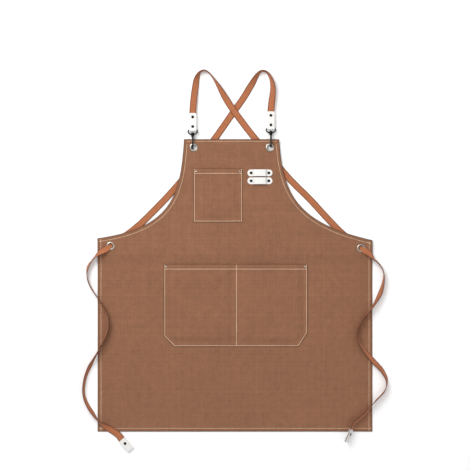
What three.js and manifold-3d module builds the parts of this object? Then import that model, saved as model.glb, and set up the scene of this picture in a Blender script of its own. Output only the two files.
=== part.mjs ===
// Butcher apron, lying flat with its front face up, in millimetres.
// +X is to the right, +Y runs from the bottom hem to the bib, +Z is up, and the table is z = 0.
// Cross-back webbing straps run from two snap hooks, cross, pass behind the bib, come up through
// the waist grommets and go on as the waist ties. Route points are measured from the bottom hem.
import * as THREE from "three";
import { mergeVertices } from "three/addons/utils/BufferGeometryUtils.js";
import Module from "manifold-3d";

const wasm = await Module();
wasm.setup();

const GAP = 0.3; // between pieces that lie against each other
const SIDES = ["left", "right"];

// Cloth
const PANEL_WIDTH = 702;
const PANEL_HEIGHT = 747;
const BIB_WIDTH = 243;
const BIB_LEAN = -8.7; // the bib lies a little to the left of the skirt's middle
const WAIST_HEIGHT = { left: 494, right: 489 }; // where each armhole meets the side
const ARMHOLE_FLARE = 8.5; // outwards, of the armhole's first control point
const ARMHOLE_DROP = 141;
const ARMHOLE_REACH = 193; // inwards from the side, of its second control point
const ARMHOLE_RISE = { left: 27, right: 44 };
const ARMHOLE_STEPS = 18;
const CANVAS = 0.9;
const HEM_FOLD = 2 * CANVAS; // two more layers, turned to the back
const HEM_WIDTH = 10;

// The bib lies over the hooks and straps, so it rises above the skirt between these heights.
const BIB_LIFT = 4.4;
const RISE_START = 430;
const RISE_END = 455;
const SKIRT = { back: HEM_FOLD, front: HEM_FOLD + CANVAS };
const BIB = { back: SKIRT.back + BIB_LIFT, front: SKIRT.front + BIB_LIFT };

// Grommets
const EYELET_INNER = 7;
const EYELET_WALL = 0.5;
const EYELET_FLANGE = EYELET_INNER + 4;
const EYELET_CROWN = 1.4;
const EYELET_HOLE = EYELET_INNER + EYELET_WALL + GAP;
const WASHER_RADIUS = EYELET_HOLE + 2.8;
const WASHER_THICK = 0.8;
const EYELET_SIDES = 20;
const BIB_EDGE = { left: BIB_LEAN - BIB_WIDTH / 2, right: BIB_LEAN + BIB_WIDTH / 2 };
const BIB_GROMMET = {
  left: [BIB_EDGE.left + 24.7, PANEL_HEIGHT - 21],
  right: [BIB_EDGE.right - 23.7, PANEL_HEIGHT - 21],
};
const WAIST_GROMMET = {
  left: [-PANEL_WIDTH / 2 + 33.3, WAIST_HEIGHT.left - 19.7],
  right: [PANEL_WIDTH / 2 - 29.2, WAIST_HEIGHT.right - 20],
};

// Pockets: a pouch stands open this far between its seams
const POUCH_HEIGHT = 5.6;
const POUCH_SEAM = 10.6;
const POUCH_SLOPE = 16;
const CHEST_TOP = PANEL_HEIGHT - 74.5;
const CHEST_DEPTH = 137.1;
const CHEST = {
  left: BIB_EDGE.left + 24.2,
  right: BIB_EDGE.right - 93.2,
  bottom: CHEST_TOP - CHEST_DEPTH,
  top: CHEST_TOP,
  rivetIn: 7.2,
  rivetDown: 8,
};
const WAIST = { left: -181.9, right: 185.3, bottom: 217.1, top: 428.3, rivetIn: 5.8, rivetDown: 7 };
const WAIST_DIVIDER = 3.7;
const WAIST_CORNER = { left: [27, 27], right: [22.5, 35.5] }; // across, up

// Leather
const LEATHER = 1.6;
const LOOP_WIDTH = 17.5;
const LOOP_UPPER = PANEL_HEIGHT - 86.1;
const LOOP = {
  length: 64,
  width: LOOP_WIDTH,
  x: BIB_EDGE.right - 49.2,
  upperY: LOOP_UPPER,
  lowerY: LOOP_UPPER - LOOP_WIDTH - 2.8,
};
const LOOP_RIVET_SPAN = 45;
const LOOP_RISE = 5.2; // of the open middle
const LOOP_FLAT = 12; // half length of the raised middle
const LOOP_FOOT = 18.4; // half length between the feet
const STRAP_WIDTH = 17;
const TAB_WIDTH = STRAP_WIDTH + 2;
const TAB_LENGTH = 44; // from the clip's bar
const TAB_CORNER = 4;
const TAB_RIVETS = [9.5, 34];
const TIP_LENGTH = 36;
const TIP_POCKET = TIP_LENGTH - 4; // how deep the strap's end sits in the tip
const TIP_RIVET = 13; // from the tip's mouth

// Straps
const STRAP_THICK = 1.5;
const STRAP_NECK = 2 * EYELET_INNER - 4; // gathered to this width in a grommet
const STRAP_STEP = 21;
const FOLD_GAP = STRAP_THICK + 2 * GAP; // between the two layers of a folded tab or tip

// Rivets
const RIVET_RADIUS = 3.6;
const POCKET_RIVET_RADIUS = 2.8;
const RIVET_CROWN = 1.5;
const RIVET_POST = 1.1;
const RIVET_HOLE = RIVET_POST + GAP;
const RIVET_BACK = 0.8;
const RIVET_SIDES = 9;

// Snap hooks: the axis is the swivel's
const CLIP_AXIS_Z = 8.5;
const WIRE = 3.3;
const HOOK_THICK = 3.6;
const HOOK_BEVEL = 0.6;
const HOOK_MIDLINE = 6.6; // from the axis to the middle of each long side
const HOOK_NECK = -11.5;
const HOOK_BEND = -29.5;
const HOOK_TIP = -27.5;
const COLLAR_RADIUS = 4.8;
const COLLAR_LOW = -2;
const COLLAR_HIGH = 3;
const STEM_RADIUS = 2;
const BUTTON_RADIUS = 3.4;
const BUTTON_HEIGHT = 1.7;
const EYE_HALF_WIDTH = TAB_WIDTH / 2 + WIRE / 2 + 0.45;
const EYE_BAR = 10.7;
const PIN_RADIUS = 0.75;
const PIN_RUNNING = 0.2;
const SLOT_HALF = 1.2; // of the neck's slot for the gate's tongue
const TONGUE = [-0.95, 0.1];
const GATE_EAR = 2.1; // from the pin to the gate's full thickness
const SPRING = { radius: 1.3, wire: 0.15, from: 0.4, turns: 1.5, pitch: 0.33, leg: 1.8 };
// Each hook's bend stands in its grommet, the left one close to the hole's lower edge.
const HOOK_REACH = HOOK_MIDLINE + WIRE / 2 - HOOK_BEND;
const CLIP = {
  left: [BIB_GROMMET.left[0] - 2.3, BIB_GROMMET.left[1] + HOOK_REACH - EYELET_INNER + 1.95],
  right: [BIB_GROMMET.right[0] + 2.4, BIB_GROMMET.right[1] + HOOK_REACH - 0.95],
};

// The straps' free runs: x, y, height of what lies underneath, and the turn about the run in
// degrees, 0 flat and 90 on edge.
const CROSS_BACK = {
  left: [
    [-106.5, 832, 7.2, 8], [-104, 858, 5.6, 10], [-101, 881, 3.4, 16], [-97, 903, 0.8, 42],
    [-89, 918, 0, 84], [-77, 922.5, 0, 90], [-66, 916, 0, 90], [-54, 900.5, 0, 80],
    [-41, 880.5, 0.4, 56], [-29, 860, 1.2, 30], [-16, 839, 1.9, 10], [-2.4, 819, 1.9, 0],
    [11, 801, 1.6, 0], [29, 777, 0.2, 0], [53, 747, 0, 0], [97, 695, 0, 0], [142, 643, 0, 0],
    [193, 592, 0, 0], [240, 541, 0, 0], [275, 506, 0, 0],
  ],
  right: [
    [93, 836, 7.2, -8], [95.5, 858, 4.8, -24], [96.5, 881, 2.2, -45], [91, 903, 0.4, -66],
    [82, 917, 0, -82], [69, 921, 0, -86], [58, 912, 0, -62], [45, 891, 0.2, -28],
    [34, 873, 0.1, -10], [22, 853.5, 0, 0], [-2.4, 819, 0, 0], [-53, 747, 0, 0],
    [-105, 680, 0, 0], [-157, 618, 0, 0], [-205, 567, 0, 0], [-256, 519, 0, 0],
  ],
};
const TIE = {
  left: [
    [-351.4, 451.5, 6.8, 68], [-365, 437, 1.5, 82], [-374.5, 422, 0.2, 64], [-378, 404, 0, 80],
    [-375, 386, 0.2, 88], [-365, 365, 2, 90], [-346, 337, 2.8, 86], [-327, 303, 2.8, 80],
    [-322.6, 280, 2.8, 78], [-325.5, 256, 2.8, 80], [-340, 223, 2.8, 86], [-356, 193, 2.4, 100],
    [-370, 168, 0.3, 118], [-380, 144, 0, 108], [-385.5, 118, 0, 104], [-385, 94, 0, 102],
    [-377, 71, 0.3, 108], [-364, 50, 1, 112], [-350, 31, 2.6, 90], [-337, 18.5, 2.8, 40],
    [-319.5, 7, 2.8, 8],
  ],
  right: [
    [352, 443, 6.8, -70], [365.5, 431, 1.6, -80], [375.5, 417, 0.3, -78], [379.6, 401, 0, -88],
    [377.5, 378, 0, -104], [370, 353, 0.6, -124], [351, 320, 2.8, -96], [326, 288, 2.8, -84],
    [312.6, 258, 2.8, -82], [314, 236, 2.8, -76], [328, 211, 2.8, -62], [352, 182, 2.6, -40],
    [376.5, 155, 0.4, -52], [387.5, 130, 0, -68], [382, 106, 0.2, -86], [358, 80, 2.9, -88],
    [333, 48, 3, -56],
  ],
};
// Each tip: where its rivet is, the height underneath it, its turn, and its heading in degrees.
const TIP = {
  left: { at: [-280.5, -29.4], under: 3, turn: 0, heading: -50 },
  right: { at: [291.5, -4], under: 4.2, turn: -64, heading: -114 },
};

const CANVAS_BROWN = new THREE.MeshStandardMaterial({ color: 0x9d6e53, roughness: 0.95 });
const WEBBING_TAN = new THREE.MeshStandardMaterial({ color: 0xbe7655, roughness: 0.9 });
const WHITE_LEATHER = new THREE.MeshStandardMaterial({ color: 0xf1eee8, roughness: 0.6 });
const BLACK_METAL = new THREE.MeshStandardMaterial({
  color: 0x1b1b1d,
  roughness: 0.4,
  metalness: 0.9,
});
const NICKEL = new THREE.MeshStandardMaterial({ color: 0xcdc9c2, roughness: 0.25, metalness: 1 });

// The part's origin is midway along the pieces that are not free straps, on the table.
const apron = new THREE.Group();
apron.position.y = -(CLIP.right[1] + EYE_BAR + TAB_LENGTH) / 2;

function add(parent, name, geometry, material) {
  const mesh = new THREE.Mesh(geometry, material);
  mesh.name = name;
  parent.add(mesh);
  return mesh;
}

// Solids

function solid(geometry) {
  const plain = new THREE.BufferGeometry();
  plain.setAttribute("position", geometry.getAttribute("position"));
  plain.setIndex(geometry.index);
  const merged = mergeVertices(plain, 1e-4);
  return new wasm.Manifold(
    new wasm.Mesh({
      numProp: 3,
      vertProperties: new Float32Array(merged.attributes.position.array),
      triVerts: new Uint32Array(merged.index.array),
    }),
  );
}

function geometryOf(manifold) {
  const mesh = manifold.getMesh();
  const geometry = new THREE.BufferGeometry();
  geometry.setAttribute("position", new THREE.BufferAttribute(mesh.vertProperties, 3));
  geometry.setIndex(new THREE.BufferAttribute(mesh.triVerts, 1));
  return geometry;
}

function cut(geometry, ...tools) {
  return geometryOf(tools.reduce((left, tool) => left.subtract(solid(tool)), solid(geometry)));
}

function join(...pieces) {
  return geometryOf(pieces.map(solid).reduce((sum, piece) => sum.add(piece)));
}

function common(a, b) {
  return geometryOf(solid(a).intersect(solid(b)));
}

// A flat outline in X and Y, raised from low to high.
function prism(shape, low, high) {
  const geometry = new THREE.ExtrudeGeometry(shape, {
    depth: high - low,
    bevelEnabled: false,
    curveSegments: 6,
  });
  return geometry.translate(0, 0, low);
}

// A side view, drawn with Y across and Z up, spread from left to right along X.
function sideways(shape, left, right, options = {}) {
  const geometry = new THREE.ExtrudeGeometry(shape, {
    depth: right - left,
    bevelEnabled: false,
    curveSegments: 8,
    ...options,
  });
  const across = new THREE.Vector3(0, 1, 0);
  const up = new THREE.Vector3(0, 0, 1);
  const along = new THREE.Vector3(1, 0, 0);
  geometry.applyMatrix4(new THREE.Matrix4().makeBasis(across, up, along));
  return geometry.translate(left, 0, 0);
}

// A profile of [radius, height] points, bottom first on its outside, turned about Z.
function turned(profile, sides) {
  const points = profile.map(([radius, height]) => new THREE.Vector2(radius, height));
  return new THREE.LatheGeometry(points, sides).rotateX(Math.PI / 2);
}

function disc(radius, low, high, x, y, sides = RIVET_SIDES) {
  const profile = [[0, low], [radius, low], [radius, high], [0, high]];
  return turned(profile, sides).translate(x, y, 0);
}

function polygon(points) {
  return new THREE.Shape(points.map(([x, y]) => new THREE.Vector2(x, y)));
}

function roundedOutline(halfWidth, low, high, corner) {
  const shape = new THREE.Shape();
  shape.moveTo(-halfWidth + corner, low);
  shape.absarc(halfWidth - corner, low + corner, corner, -Math.PI / 2, 0);
  shape.absarc(halfWidth - corner, high - corner, corner, 0, Math.PI / 2);
  shape.absarc(-halfWidth + corner, high - corner, corner, Math.PI / 2, Math.PI);
  shape.absarc(-halfWidth + corner, low + corner, corner, Math.PI, 1.5 * Math.PI);
  return shape;
}

// Panel

function armhole(side) {
  const outwards = side === "left" ? -1 : 1;
  const bibX = BIB_LEAN + (outwards * BIB_WIDTH) / 2;
  const sideX = (outwards * PANEL_WIDTH) / 2;
  const waist = WAIST_HEIGHT[side];
  return new THREE.CubicBezierCurve(
    new THREE.Vector2(bibX, PANEL_HEIGHT),
    new THREE.Vector2(bibX + outwards * ARMHOLE_FLARE, PANEL_HEIGHT - ARMHOLE_DROP),
    new THREE.Vector2(sideX - outwards * ARMHOLE_REACH, waist + ARMHOLE_RISE[side]),
    new THREE.Vector2(sideX, waist),
  ).getPoints(ARMHOLE_STEPS);
}

function panelOutline() {
  const half = PANEL_WIDTH / 2;
  return [
    new THREE.Vector2(-half, 0),
    new THREE.Vector2(half, 0),
    ...armhole("right").reverse(),
    ...armhole("left"),
  ];
}

// The outline moved inwards by a distance; it runs anticlockwise.
function inset(points, distance) {
  const count = points.length;
  return points.map((point, i) => {
    const before = point.clone().sub(points[(i + count - 1) % count]).normalize();
    const after = points[(i + 1) % count].clone().sub(point).normalize();
    const normal = new THREE.Vector2(-before.y - after.y, before.x + after.x).normalize();
    const reach = distance / Math.max(0.3, normal.dot(new THREE.Vector2(-before.y, before.x)));
    return point.clone().add(normal.multiplyScalar(reach));
  });
}

// A layer between two heights above the skirt's table, raised where the bib rises.
function layer(low, high) {
  const margin = 10;
  const end = PANEL_HEIGHT + margin;
  const shape = polygon([
    [-margin, low], [RISE_START, low], [RISE_END, low + BIB_LIFT], [end, low + BIB_LIFT],
    [end, high + BIB_LIFT], [RISE_END, high + BIB_LIFT], [RISE_START, high], [-margin, high],
  ]);
  return sideways(shape, -PANEL_WIDTH / 2 - margin, PANEL_WIDTH / 2 + margin);
}

function panel(holes) {
  const outline = panelOutline();
  const tall = BIB.front + 10;
  const hem = new THREE.Shape(outline);
  hem.holes.push(new THREE.Path(inset(outline, HEM_WIDTH).reverse()));
  const cloth = common(prism(new THREE.Shape(outline), -5, tall), layer(SKIRT.back, SKIRT.front));
  const fold = common(prism(hem, -5, tall), layer(0, SKIRT.back + CANVAS / 2));
  return cut(join(cloth, fold), ...holes);
}

// A sewn-on pouch: a thin sheet, down at its seams and open at the top.
// seams are the heights' still lines across; floorAt gives the bottom edge at each x.
function pouch(seams, top, base, floorAt, extraColumns = []) {
  const offsets = [0, POUCH_SEAM, POUCH_SEAM + POUCH_SLOPE / 2, POUCH_SEAM + POUCH_SLOPE];
  const columns = new Set(extraColumns);
  seams.slice(0, -1).forEach((seam, i) => {
    offsets.forEach((offset) => columns.add(seam + offset).add(seams[i + 1] - offset));
  });
  const xs = [...columns].sort((a, b) => a - b);
  const rise = (distance) => THREE.MathUtils.smoothstep(distance, POUCH_SEAM, offsets[3]);
  const fromSeam = (x) => Math.min(...seams.map((seam) => Math.abs(x - seam)));
  const rows = xs.map((x) => {
    const floor = floorAt(x);
    const ys = [...offsets.map((offset) => floor + offset), (floor + top) / 2, top];
    return ys.map((y) => {
      const z = base + POUCH_HEIGHT * rise(fromSeam(x)) * rise(y - floor);
      return new THREE.Vector3(x, y, z);
    });
  });
  return thickSheet(rows, CANVAS);
}

// A closed sheet over a grid of underside points.
function thickSheet(grid, thickness) {
  const [across, along] = [grid.length, grid[0].length];
  const positions = [0, thickness].flatMap((lift) =>
    grid.flatMap((row) => row.flatMap((point) => [point.x, point.y, point.z + lift])),
  );
  const at = (i, j, upper) => (upper ? across * along : 0) + i * along + j;
  const faces = [];
  const quad = (a, b, c, d) => faces.push(a, b, c, a, c, d);
  for (let i = 0; i + 1 < across; i++) {
    for (let j = 0; j + 1 < along; j++) {
      quad(at(i, j, true), at(i + 1, j, true), at(i + 1, j + 1, true), at(i, j + 1, true));
      quad(at(i, j), at(i, j + 1), at(i + 1, j + 1), at(i + 1, j));
    }
    quad(at(i, 0), at(i + 1, 0), at(i + 1, 0, true), at(i, 0, true));
    quad(at(i + 1, along - 1), at(i, along - 1), at(i, along - 1, true), at(i + 1, along - 1, true));
  }
  for (let j = 0; j + 1 < along; j++) {
    quad(at(0, j + 1), at(0, j), at(0, j, true), at(0, j + 1, true));
    quad(at(across - 1, j), at(across - 1, j + 1), at(across - 1, j + 1, true), at(across - 1, j, true));
  }
  const geometry = new THREE.BufferGeometry();
  geometry.setAttribute("position", new THREE.Float32BufferAttribute(positions, 3));
  geometry.setIndex(faces);
  return geometry;
}

function waistFloor(x) {
  const [leftAcross, leftUp] = WAIST_CORNER.left;
  const [rightAcross, rightUp] = WAIST_CORNER.right;
  const leftRise = leftUp * Math.max(0, 1 - (x - WAIST.left) / leftAcross);
  const rightRise = rightUp * Math.max(0, 1 - (WAIST.right - x) / rightAcross);
  return WAIST.bottom + leftRise + rightRise;
}

// Grommets

function eyelet(back, front) {
  const outer = EYELET_INNER + EYELET_WALL;
  const washerUnder = back - GAP - WASHER_THICK;
  return turned(
    [
      [EYELET_INNER, front + 0.8], [EYELET_INNER, washerUnder - 0.6],
      [outer + 1.1, washerUnder - 0.6], [outer + 1.1, washerUnder - 0.2],
      [outer, washerUnder - 0.2], [outer, front + GAP], [EYELET_FLANGE, front + GAP],
      [EYELET_FLANGE, front + GAP + 0.4], [EYELET_FLANGE - 1.2, front + EYELET_CROWN - 0.2],
      [EYELET_INNER + 1.4, front + EYELET_CROWN], [EYELET_INNER, front + 0.8],
    ],
    EYELET_SIDES,
  );
}

function ring(inner, outer, low, high, sides) {
  return turned([[inner, high], [inner, low], [outer, low], [outer, high], [inner, high]], sides);
}

function grommet(name, [x, y], level) {
  const seat = new THREE.Group();
  seat.position.set(x, y, 0);
  apron.add(seat);
  const under = level.back - GAP;
  add(seat, name + "_grommet", eyelet(level.back, level.front), NICKEL);
  const washer = ring(EYELET_HOLE + 0.1, WASHER_RADIUS, under - WASHER_THICK, under, EYELET_SIDES);
  add(seat, name + "_grommet_washer", washer, NICKEL);
}

// Rivets: a domed cap with its post, and a flat back ring on the post.

function rivet(parent, name, [x, y], back, front, material, radius = RIVET_RADIUS) {
  const seat = new THREE.Group();
  seat.position.set(x, y, 0);
  parent.add(seat);
  const under = back - GAP;
  const over = front + GAP;
  const cap = turned(
    [
      [0, under - RIVET_BACK], [RIVET_POST, under - RIVET_BACK], [RIVET_POST, over],
      [radius, over], [radius, over + 0.3 * RIVET_CROWN],
      [0.68 * radius, over + 0.85 * RIVET_CROWN], [0, over + RIVET_CROWN],
    ],
    RIVET_SIDES,
  );
  add(seat, name + "_cap", cap, material);
  const post = ring(RIVET_POST + 0.2, radius - 0.2, under - RIVET_BACK, under, RIVET_SIDES);
  add(seat, name + "_back", post, material);
}

function rivetHole([x, y], low, high) {
  return disc(RIVET_HOLE, low, high, x, y);
}

// Leather

function toolLoop(y, rivets) {
  const half = LOOP.length / 2;
  const base = BIB.front + GAP;
  const raised = base + LOOP_RISE;
  const under = [[-half, base], [-LOOP_FOOT, base], [-LOOP_FLAT, raised]];
  const arch = [...under, ...under.toReversed().map(([x, z]) => [-x, z])];
  const upper = arch.toReversed().map(([x, z]) => [x, z + LEATHER]);
  const strip = new THREE.ExtrudeGeometry(polygon([...arch, ...upper]), {
    depth: LOOP.width,
    bevelEnabled: false,
  });
  strip.rotateX(Math.PI / 2).translate(0, LOOP.width / 2, 0);
  const round = LOOP.width / 2;
  const ends = roundedOutline(round - 0.01, -half, half, round - 0.02);
  const outline = prism(ends, base - 1, raised + LEATHER + 1).rotateZ(Math.PI / 2);
  const piece = common(strip, outline).translate(LOOP.x, y, 0);
  return cut(piece, ...rivets.map((at) => rivetHole(at, base - 1, raised)));
}

// Two layers of leather folded round a bar, drawn with the bar's middle at y = 0, z = 0.
function foldedTab() {
  const gap = FOLD_GAP / 2;
  const outer = gap + LEATHER;
  const inside = WIRE / 2 + GAP;
  const outside = inside + LEATHER;
  const outerTurn = Math.asin(outer / outside);
  const innerTurn = Math.asin(gap / inside);
  const shape = new THREE.Shape();
  shape.moveTo(TAB_LENGTH, outer);
  shape.absarc(0, 0, outside, outerTurn, 2 * Math.PI - outerTurn);
  shape.lineTo(TAB_LENGTH, -outer);
  shape.lineTo(TAB_LENGTH, -gap);
  shape.absarc(0, 0, inside, 2 * Math.PI - innerTurn, innerTurn, true);
  shape.lineTo(TAB_LENGTH, gap);
  const body = sideways(shape, -TAB_WIDTH / 2, TAB_WIDTH / 2);
  const outline = roundedOutline(TAB_WIDTH / 2 - 0.01, -9, TAB_LENGTH - 0.01, TAB_CORNER);
  const holes = TAB_RIVETS.map((y) => rivetHole([0, y], -9, 9));
  return cut(common(body, prism(outline, -9, 9)), ...holes);
}

// Leather folded over a strap's end, drawn with its mouth at y = 0.
function foldedTip() {
  const gap = FOLD_GAP / 2;
  const outer = gap + LEATHER;
  const shape = polygon([[0, -outer], [TIP_LENGTH - outer, -outer]]);
  shape.absarc(TIP_LENGTH - outer, 0, outer, -Math.PI / 2, Math.PI / 2);
  shape.lineTo(0, outer);
  shape.lineTo(0, gap);
  shape.lineTo(TIP_POCKET, gap);
  shape.lineTo(TIP_POCKET, -gap);
  shape.lineTo(0, -gap);
  const body = sideways(shape, -TAB_WIDTH / 2, TAB_WIDTH / 2);
  const outline = roundedOutline(TAB_WIDTH / 2 - 0.01, 0.01, TIP_LENGTH + 0.5, TAB_CORNER);
  return cut(common(body, prism(outline, -9, 9)), rivetHole([0, TIP_RIVET], -9, 9));
}

// Straps

// Unit vectors of a flat band's run: its run, its width, and out of its face.
function bandFrame(run, turn) {
  const side = new THREE.Vector3(0, 0, 1).cross(run).normalize();
  const up = run.clone().cross(side);
  const angle = THREE.MathUtils.degToRad(turn);
  const width = side.multiplyScalar(Math.cos(angle)).addScaledVector(up, Math.sin(angle));
  return { run, width, face: run.clone().cross(width) };
}

function lieHeight(under, turn, width) {
  const angle = THREE.MathUtils.degToRad(turn);
  const tall = Math.abs(Math.sin(angle)) * width + Math.abs(Math.cos(angle)) * STRAP_THICK;
  return under + GAP + tall / 2;
}

// The whole route of the strap that hangs from one clip and ends as the other side's tie.
function strapRoute(side) {
  const far = side === "left" ? "right" : "left";
  const outwards = far === "left" ? -1 : 1;
  const [x, y] = CLIP[side];
  const bar = y + EYE_BAR;
  const inTab = [WIRE / 2 + GAP + 2.4, TAB_LENGTH / 2, TAB_LENGTH - 2];
  const [holeX, holeY] = WAIST_GROMMET[far];
  const middle = (BIB.back + BIB.front) / 2;
  const through = [
    [-9.4, 10.4, 1.1, 0, STRAP_NECK], [-4.1, 4.5, 1.8, 0, STRAP_NECK],
    [0, 0, middle, 0, STRAP_NECK], [5.4, -4.4, 10.9, 0, STRAP_NECK + 3],
    [15.5, -10.5, 11.2, 10, STRAP_WIDTH],
  ];
  const tip = tipFrame(far);
  const rows = [
    ...inTab.map((along) => [x, bar + along, CLIP_AXIS_Z, 0, STRAP_WIDTH]),
    ...CROSS_BACK[side].map(([px, py, under, turn]) => [
      px, py, lieHeight(under, turn, STRAP_WIDTH), turn, STRAP_WIDTH,
    ]),
    ...through.map(([across, along, z, turn, width]) => [
      holeX + outwards * across, holeY + along, z, -outwards * turn, width,
    ]),
    ...TIE[far].map(([px, py, under, turn]) => [
      px, py, lieHeight(under, turn, STRAP_WIDTH), turn, STRAP_WIDTH,
    ]),
    ...[-16, 0, TIP_POCKET - GAP].map((along) => {
      const point = tip.mouth.clone().addScaledVector(tip.run, along);
      return [point.x, point.y, point.z, TIP[far].turn, STRAP_WIDTH];
    }),
  ];
  return rows;
}

// A flat band along a route of [x, y, z, turn, width] rows.
function band(rows) {
  const points = rows.map(([x, y, z]) => new THREE.Vector3(x, y, z));
  const curve = new THREE.CatmullRomCurve3(points, false, "centripetal");
  const spans = rows.length - 1;
  const corners = [];
  for (let i = 0; i < spans; i++) {
    const steps = Math.max(1, Math.round(points[i].distanceTo(points[i + 1]) / STRAP_STEP));
    for (let k = 0; k < steps + (i === spans - 1 ? 1 : 0); k++) {
      const share = k / steps;
      const at = Math.min(1, (i + share) / spans);
      const centre = curve.getPoint(at);
      const turn = THREE.MathUtils.lerp(rows[i][3], rows[i + 1][3], share);
      const half = THREE.MathUtils.lerp(rows[i][4], rows[i + 1][4], share) / 2;
      const frame = bandFrame(curve.getTangent(at), turn);
      for (const [w, f] of [[-1, -1], [1, -1], [1, 1], [-1, 1]]) {
        corners.push(
          centre
            .clone()
            .addScaledVector(frame.width, w * half)
            .addScaledVector(frame.face, (f * STRAP_THICK) / 2),
        );
      }
    }
  }
  const sections = corners.length / 4;
  const faces = [0, 3, 2, 0, 2, 1];
  for (let s = 0; s + 1 < sections; s++) {
    for (let k = 0; k < 4; k++) {
      const [a, b] = [4 * s + k, 4 * s + ((k + 1) % 4)];
      // Upper and lower faces share a diagonal, so that a twist doesn't push one through the other.
      const split = k === 2 ? [a, b, a + 4, b, b + 4, a + 4] : [a, b, b + 4, a, b + 4, a + 4];
      faces.push(...split);
    }
  }
  const last = 4 * (sections - 1);
  faces.push(last, last + 1, last + 2, last, last + 2, last + 3);
  const geometry = new THREE.BufferGeometry().setFromPoints(corners);
  geometry.setIndex(faces);
  return geometry;
}

function tipFrame(side) {
  const { at, under, turn, heading } = TIP[side];
  const angle = THREE.MathUtils.degToRad(heading);
  const run = new THREE.Vector3(Math.cos(angle), Math.sin(angle), 0);
  const frame = bandFrame(run, turn);
  const height = lieHeight(under, turn, TAB_WIDTH);
  const rivetAt = new THREE.Vector3(at[0], at[1], height);
  const mouth = rivetAt.clone().addScaledVector(run, -TIP_RIVET);
  return { ...frame, mouth };
}

// A group placed at a strap's end, with Y along the run and Z out of the upper face.
function tipSeat(side) {
  const { run, width, face, mouth } = tipFrame(side);
  const seat = new THREE.Group();
  const basis = new THREE.Matrix4().makeBasis(width.clone().negate(), run, face);
  seat.applyMatrix4(basis);
  seat.position.copy(mouth);
  return seat;
}

// Snap hooks

function wireAlong(points, steps, radius = WIRE / 2, sides = 8) {
  const circle = new THREE.Shape(
    Array.from({ length: sides }, (_, k) => {
      const angle = (2 * Math.PI * k) / sides;
      return new THREE.Vector2(radius * Math.cos(angle), radius * Math.sin(angle));
    }),
  );
  const path = new THREE.CatmullRomCurve3(points.map((point) => new THREE.Vector3(...point)));
  return new THREE.ExtrudeGeometry(circle, { steps, extrudePath: path, bevelEnabled: false });
}

// Turned about the swivel's own axis, which is Y here.
function turnedAlongY(profile, sides) {
  return turned(profile, sides).rotateX(-Math.PI / 2);
}

function swivelEye() {
  const half = [
    [2.6, 0.4, 0], [6.6, 1.1, 0], [10.2, 3.5, 0], [EYE_HALF_WIDTH, 6.8, 0],
    [EYE_HALF_WIDTH, 8.9, 0], [EYE_HALF_WIDTH - 1.5, EYE_BAR, 0], [4, EYE_BAR, 0],
  ];
  const bow = wireAlong([...half, ...half.toReversed().map(([x, y, z]) => [-x, y, z])], 26);
  const hole = STEM_RADIUS + GAP;
  const solidCollar = turnedAlongY(
    [
      [0, COLLAR_LOW], [COLLAR_RADIUS - 1, COLLAR_LOW], [COLLAR_RADIUS, COLLAR_LOW + 1],
      [COLLAR_RADIUS, COLLAR_HIGH - 1], [COLLAR_RADIUS - 1, COLLAR_HIGH], [0, COLLAR_HIGH],
    ],
    14,
  );
  const bore = turnedAlongY([[0, -9], [hole, -9], [hole, 9], [0, 9]], 12);
  return cut(join(bow, solidCollar), bore);
}

// The hook's long sides are straight; a wide hoop joins them at the bend and at the neck.
function hookBody() {
  const inner = HOOK_MIDLINE - WIRE / 2;
  const outer = HOOK_MIDLINE + WIRE / 2;
  const shape = new THREE.Shape();
  shape.moveTo(HOOK_TIP, inner);
  shape.lineTo(HOOK_TIP, outer);
  shape.absarc(HOOK_BEND, 0, outer - HOOK_BEVEL / 2, Math.PI / 2, 1.5 * Math.PI);
  shape.absarc(HOOK_NECK, 0, outer - HOOK_BEVEL / 2, -Math.PI / 2, Math.PI / 2);
  shape.absarc(HOOK_NECK, HOOK_MIDLINE, WIRE / 2, Math.PI / 2, 1.5 * Math.PI);
  shape.absarc(HOOK_NECK, 0, inner, Math.PI / 2, -Math.PI / 2, true);
  shape.absarc(HOOK_BEND, 0, inner, 1.5 * Math.PI, Math.PI / 2, true);
  const half = HOOK_THICK / 2;
  const hoop = sideways(shape, -half + HOOK_BEVEL, half - HOOK_BEVEL, {
    bevelEnabled: true,
    bevelThickness: HOOK_BEVEL,
    bevelSize: HOOK_BEVEL / 2,
    bevelOffset: -HOOK_BEVEL / 2,
    bevelSegments: 1,
    curveSegments: 7,
  });
  const shoulder = COLLAR_LOW - GAP;
  const button = COLLAR_HIGH + GAP;
  const stem = turnedAlongY(
    [
      [0, HOOK_NECK + 6], [3.4, HOOK_NECK + 6], [3.9, shoulder], [STEM_RADIUS, shoulder],
      [STEM_RADIUS, button], [BUTTON_RADIUS, button], [BUTTON_RADIUS - 0.8, button + BUTTON_HEIGHT],
      [0, button + BUTTON_HEIGHT],
    ],
    12,
  );
  const slot = new THREE.BoxGeometry(2 * SLOT_HALF, 6, 6);
  slot.translate(0, HOOK_NECK - 0.4, HOOK_MIDLINE + 0.8);
  return cut(join(hoop, stem), slot, pinAt(PIN_RADIUS + PIN_RUNNING, HOOK_THICK + 2));
}

function pinAt(radius, length) {
  const pin = new THREE.CylinderGeometry(radius, radius, length, 10);
  return pin.rotateZ(Math.PI / 2).translate(0, HOOK_NECK, HOOK_MIDLINE);
}

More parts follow.
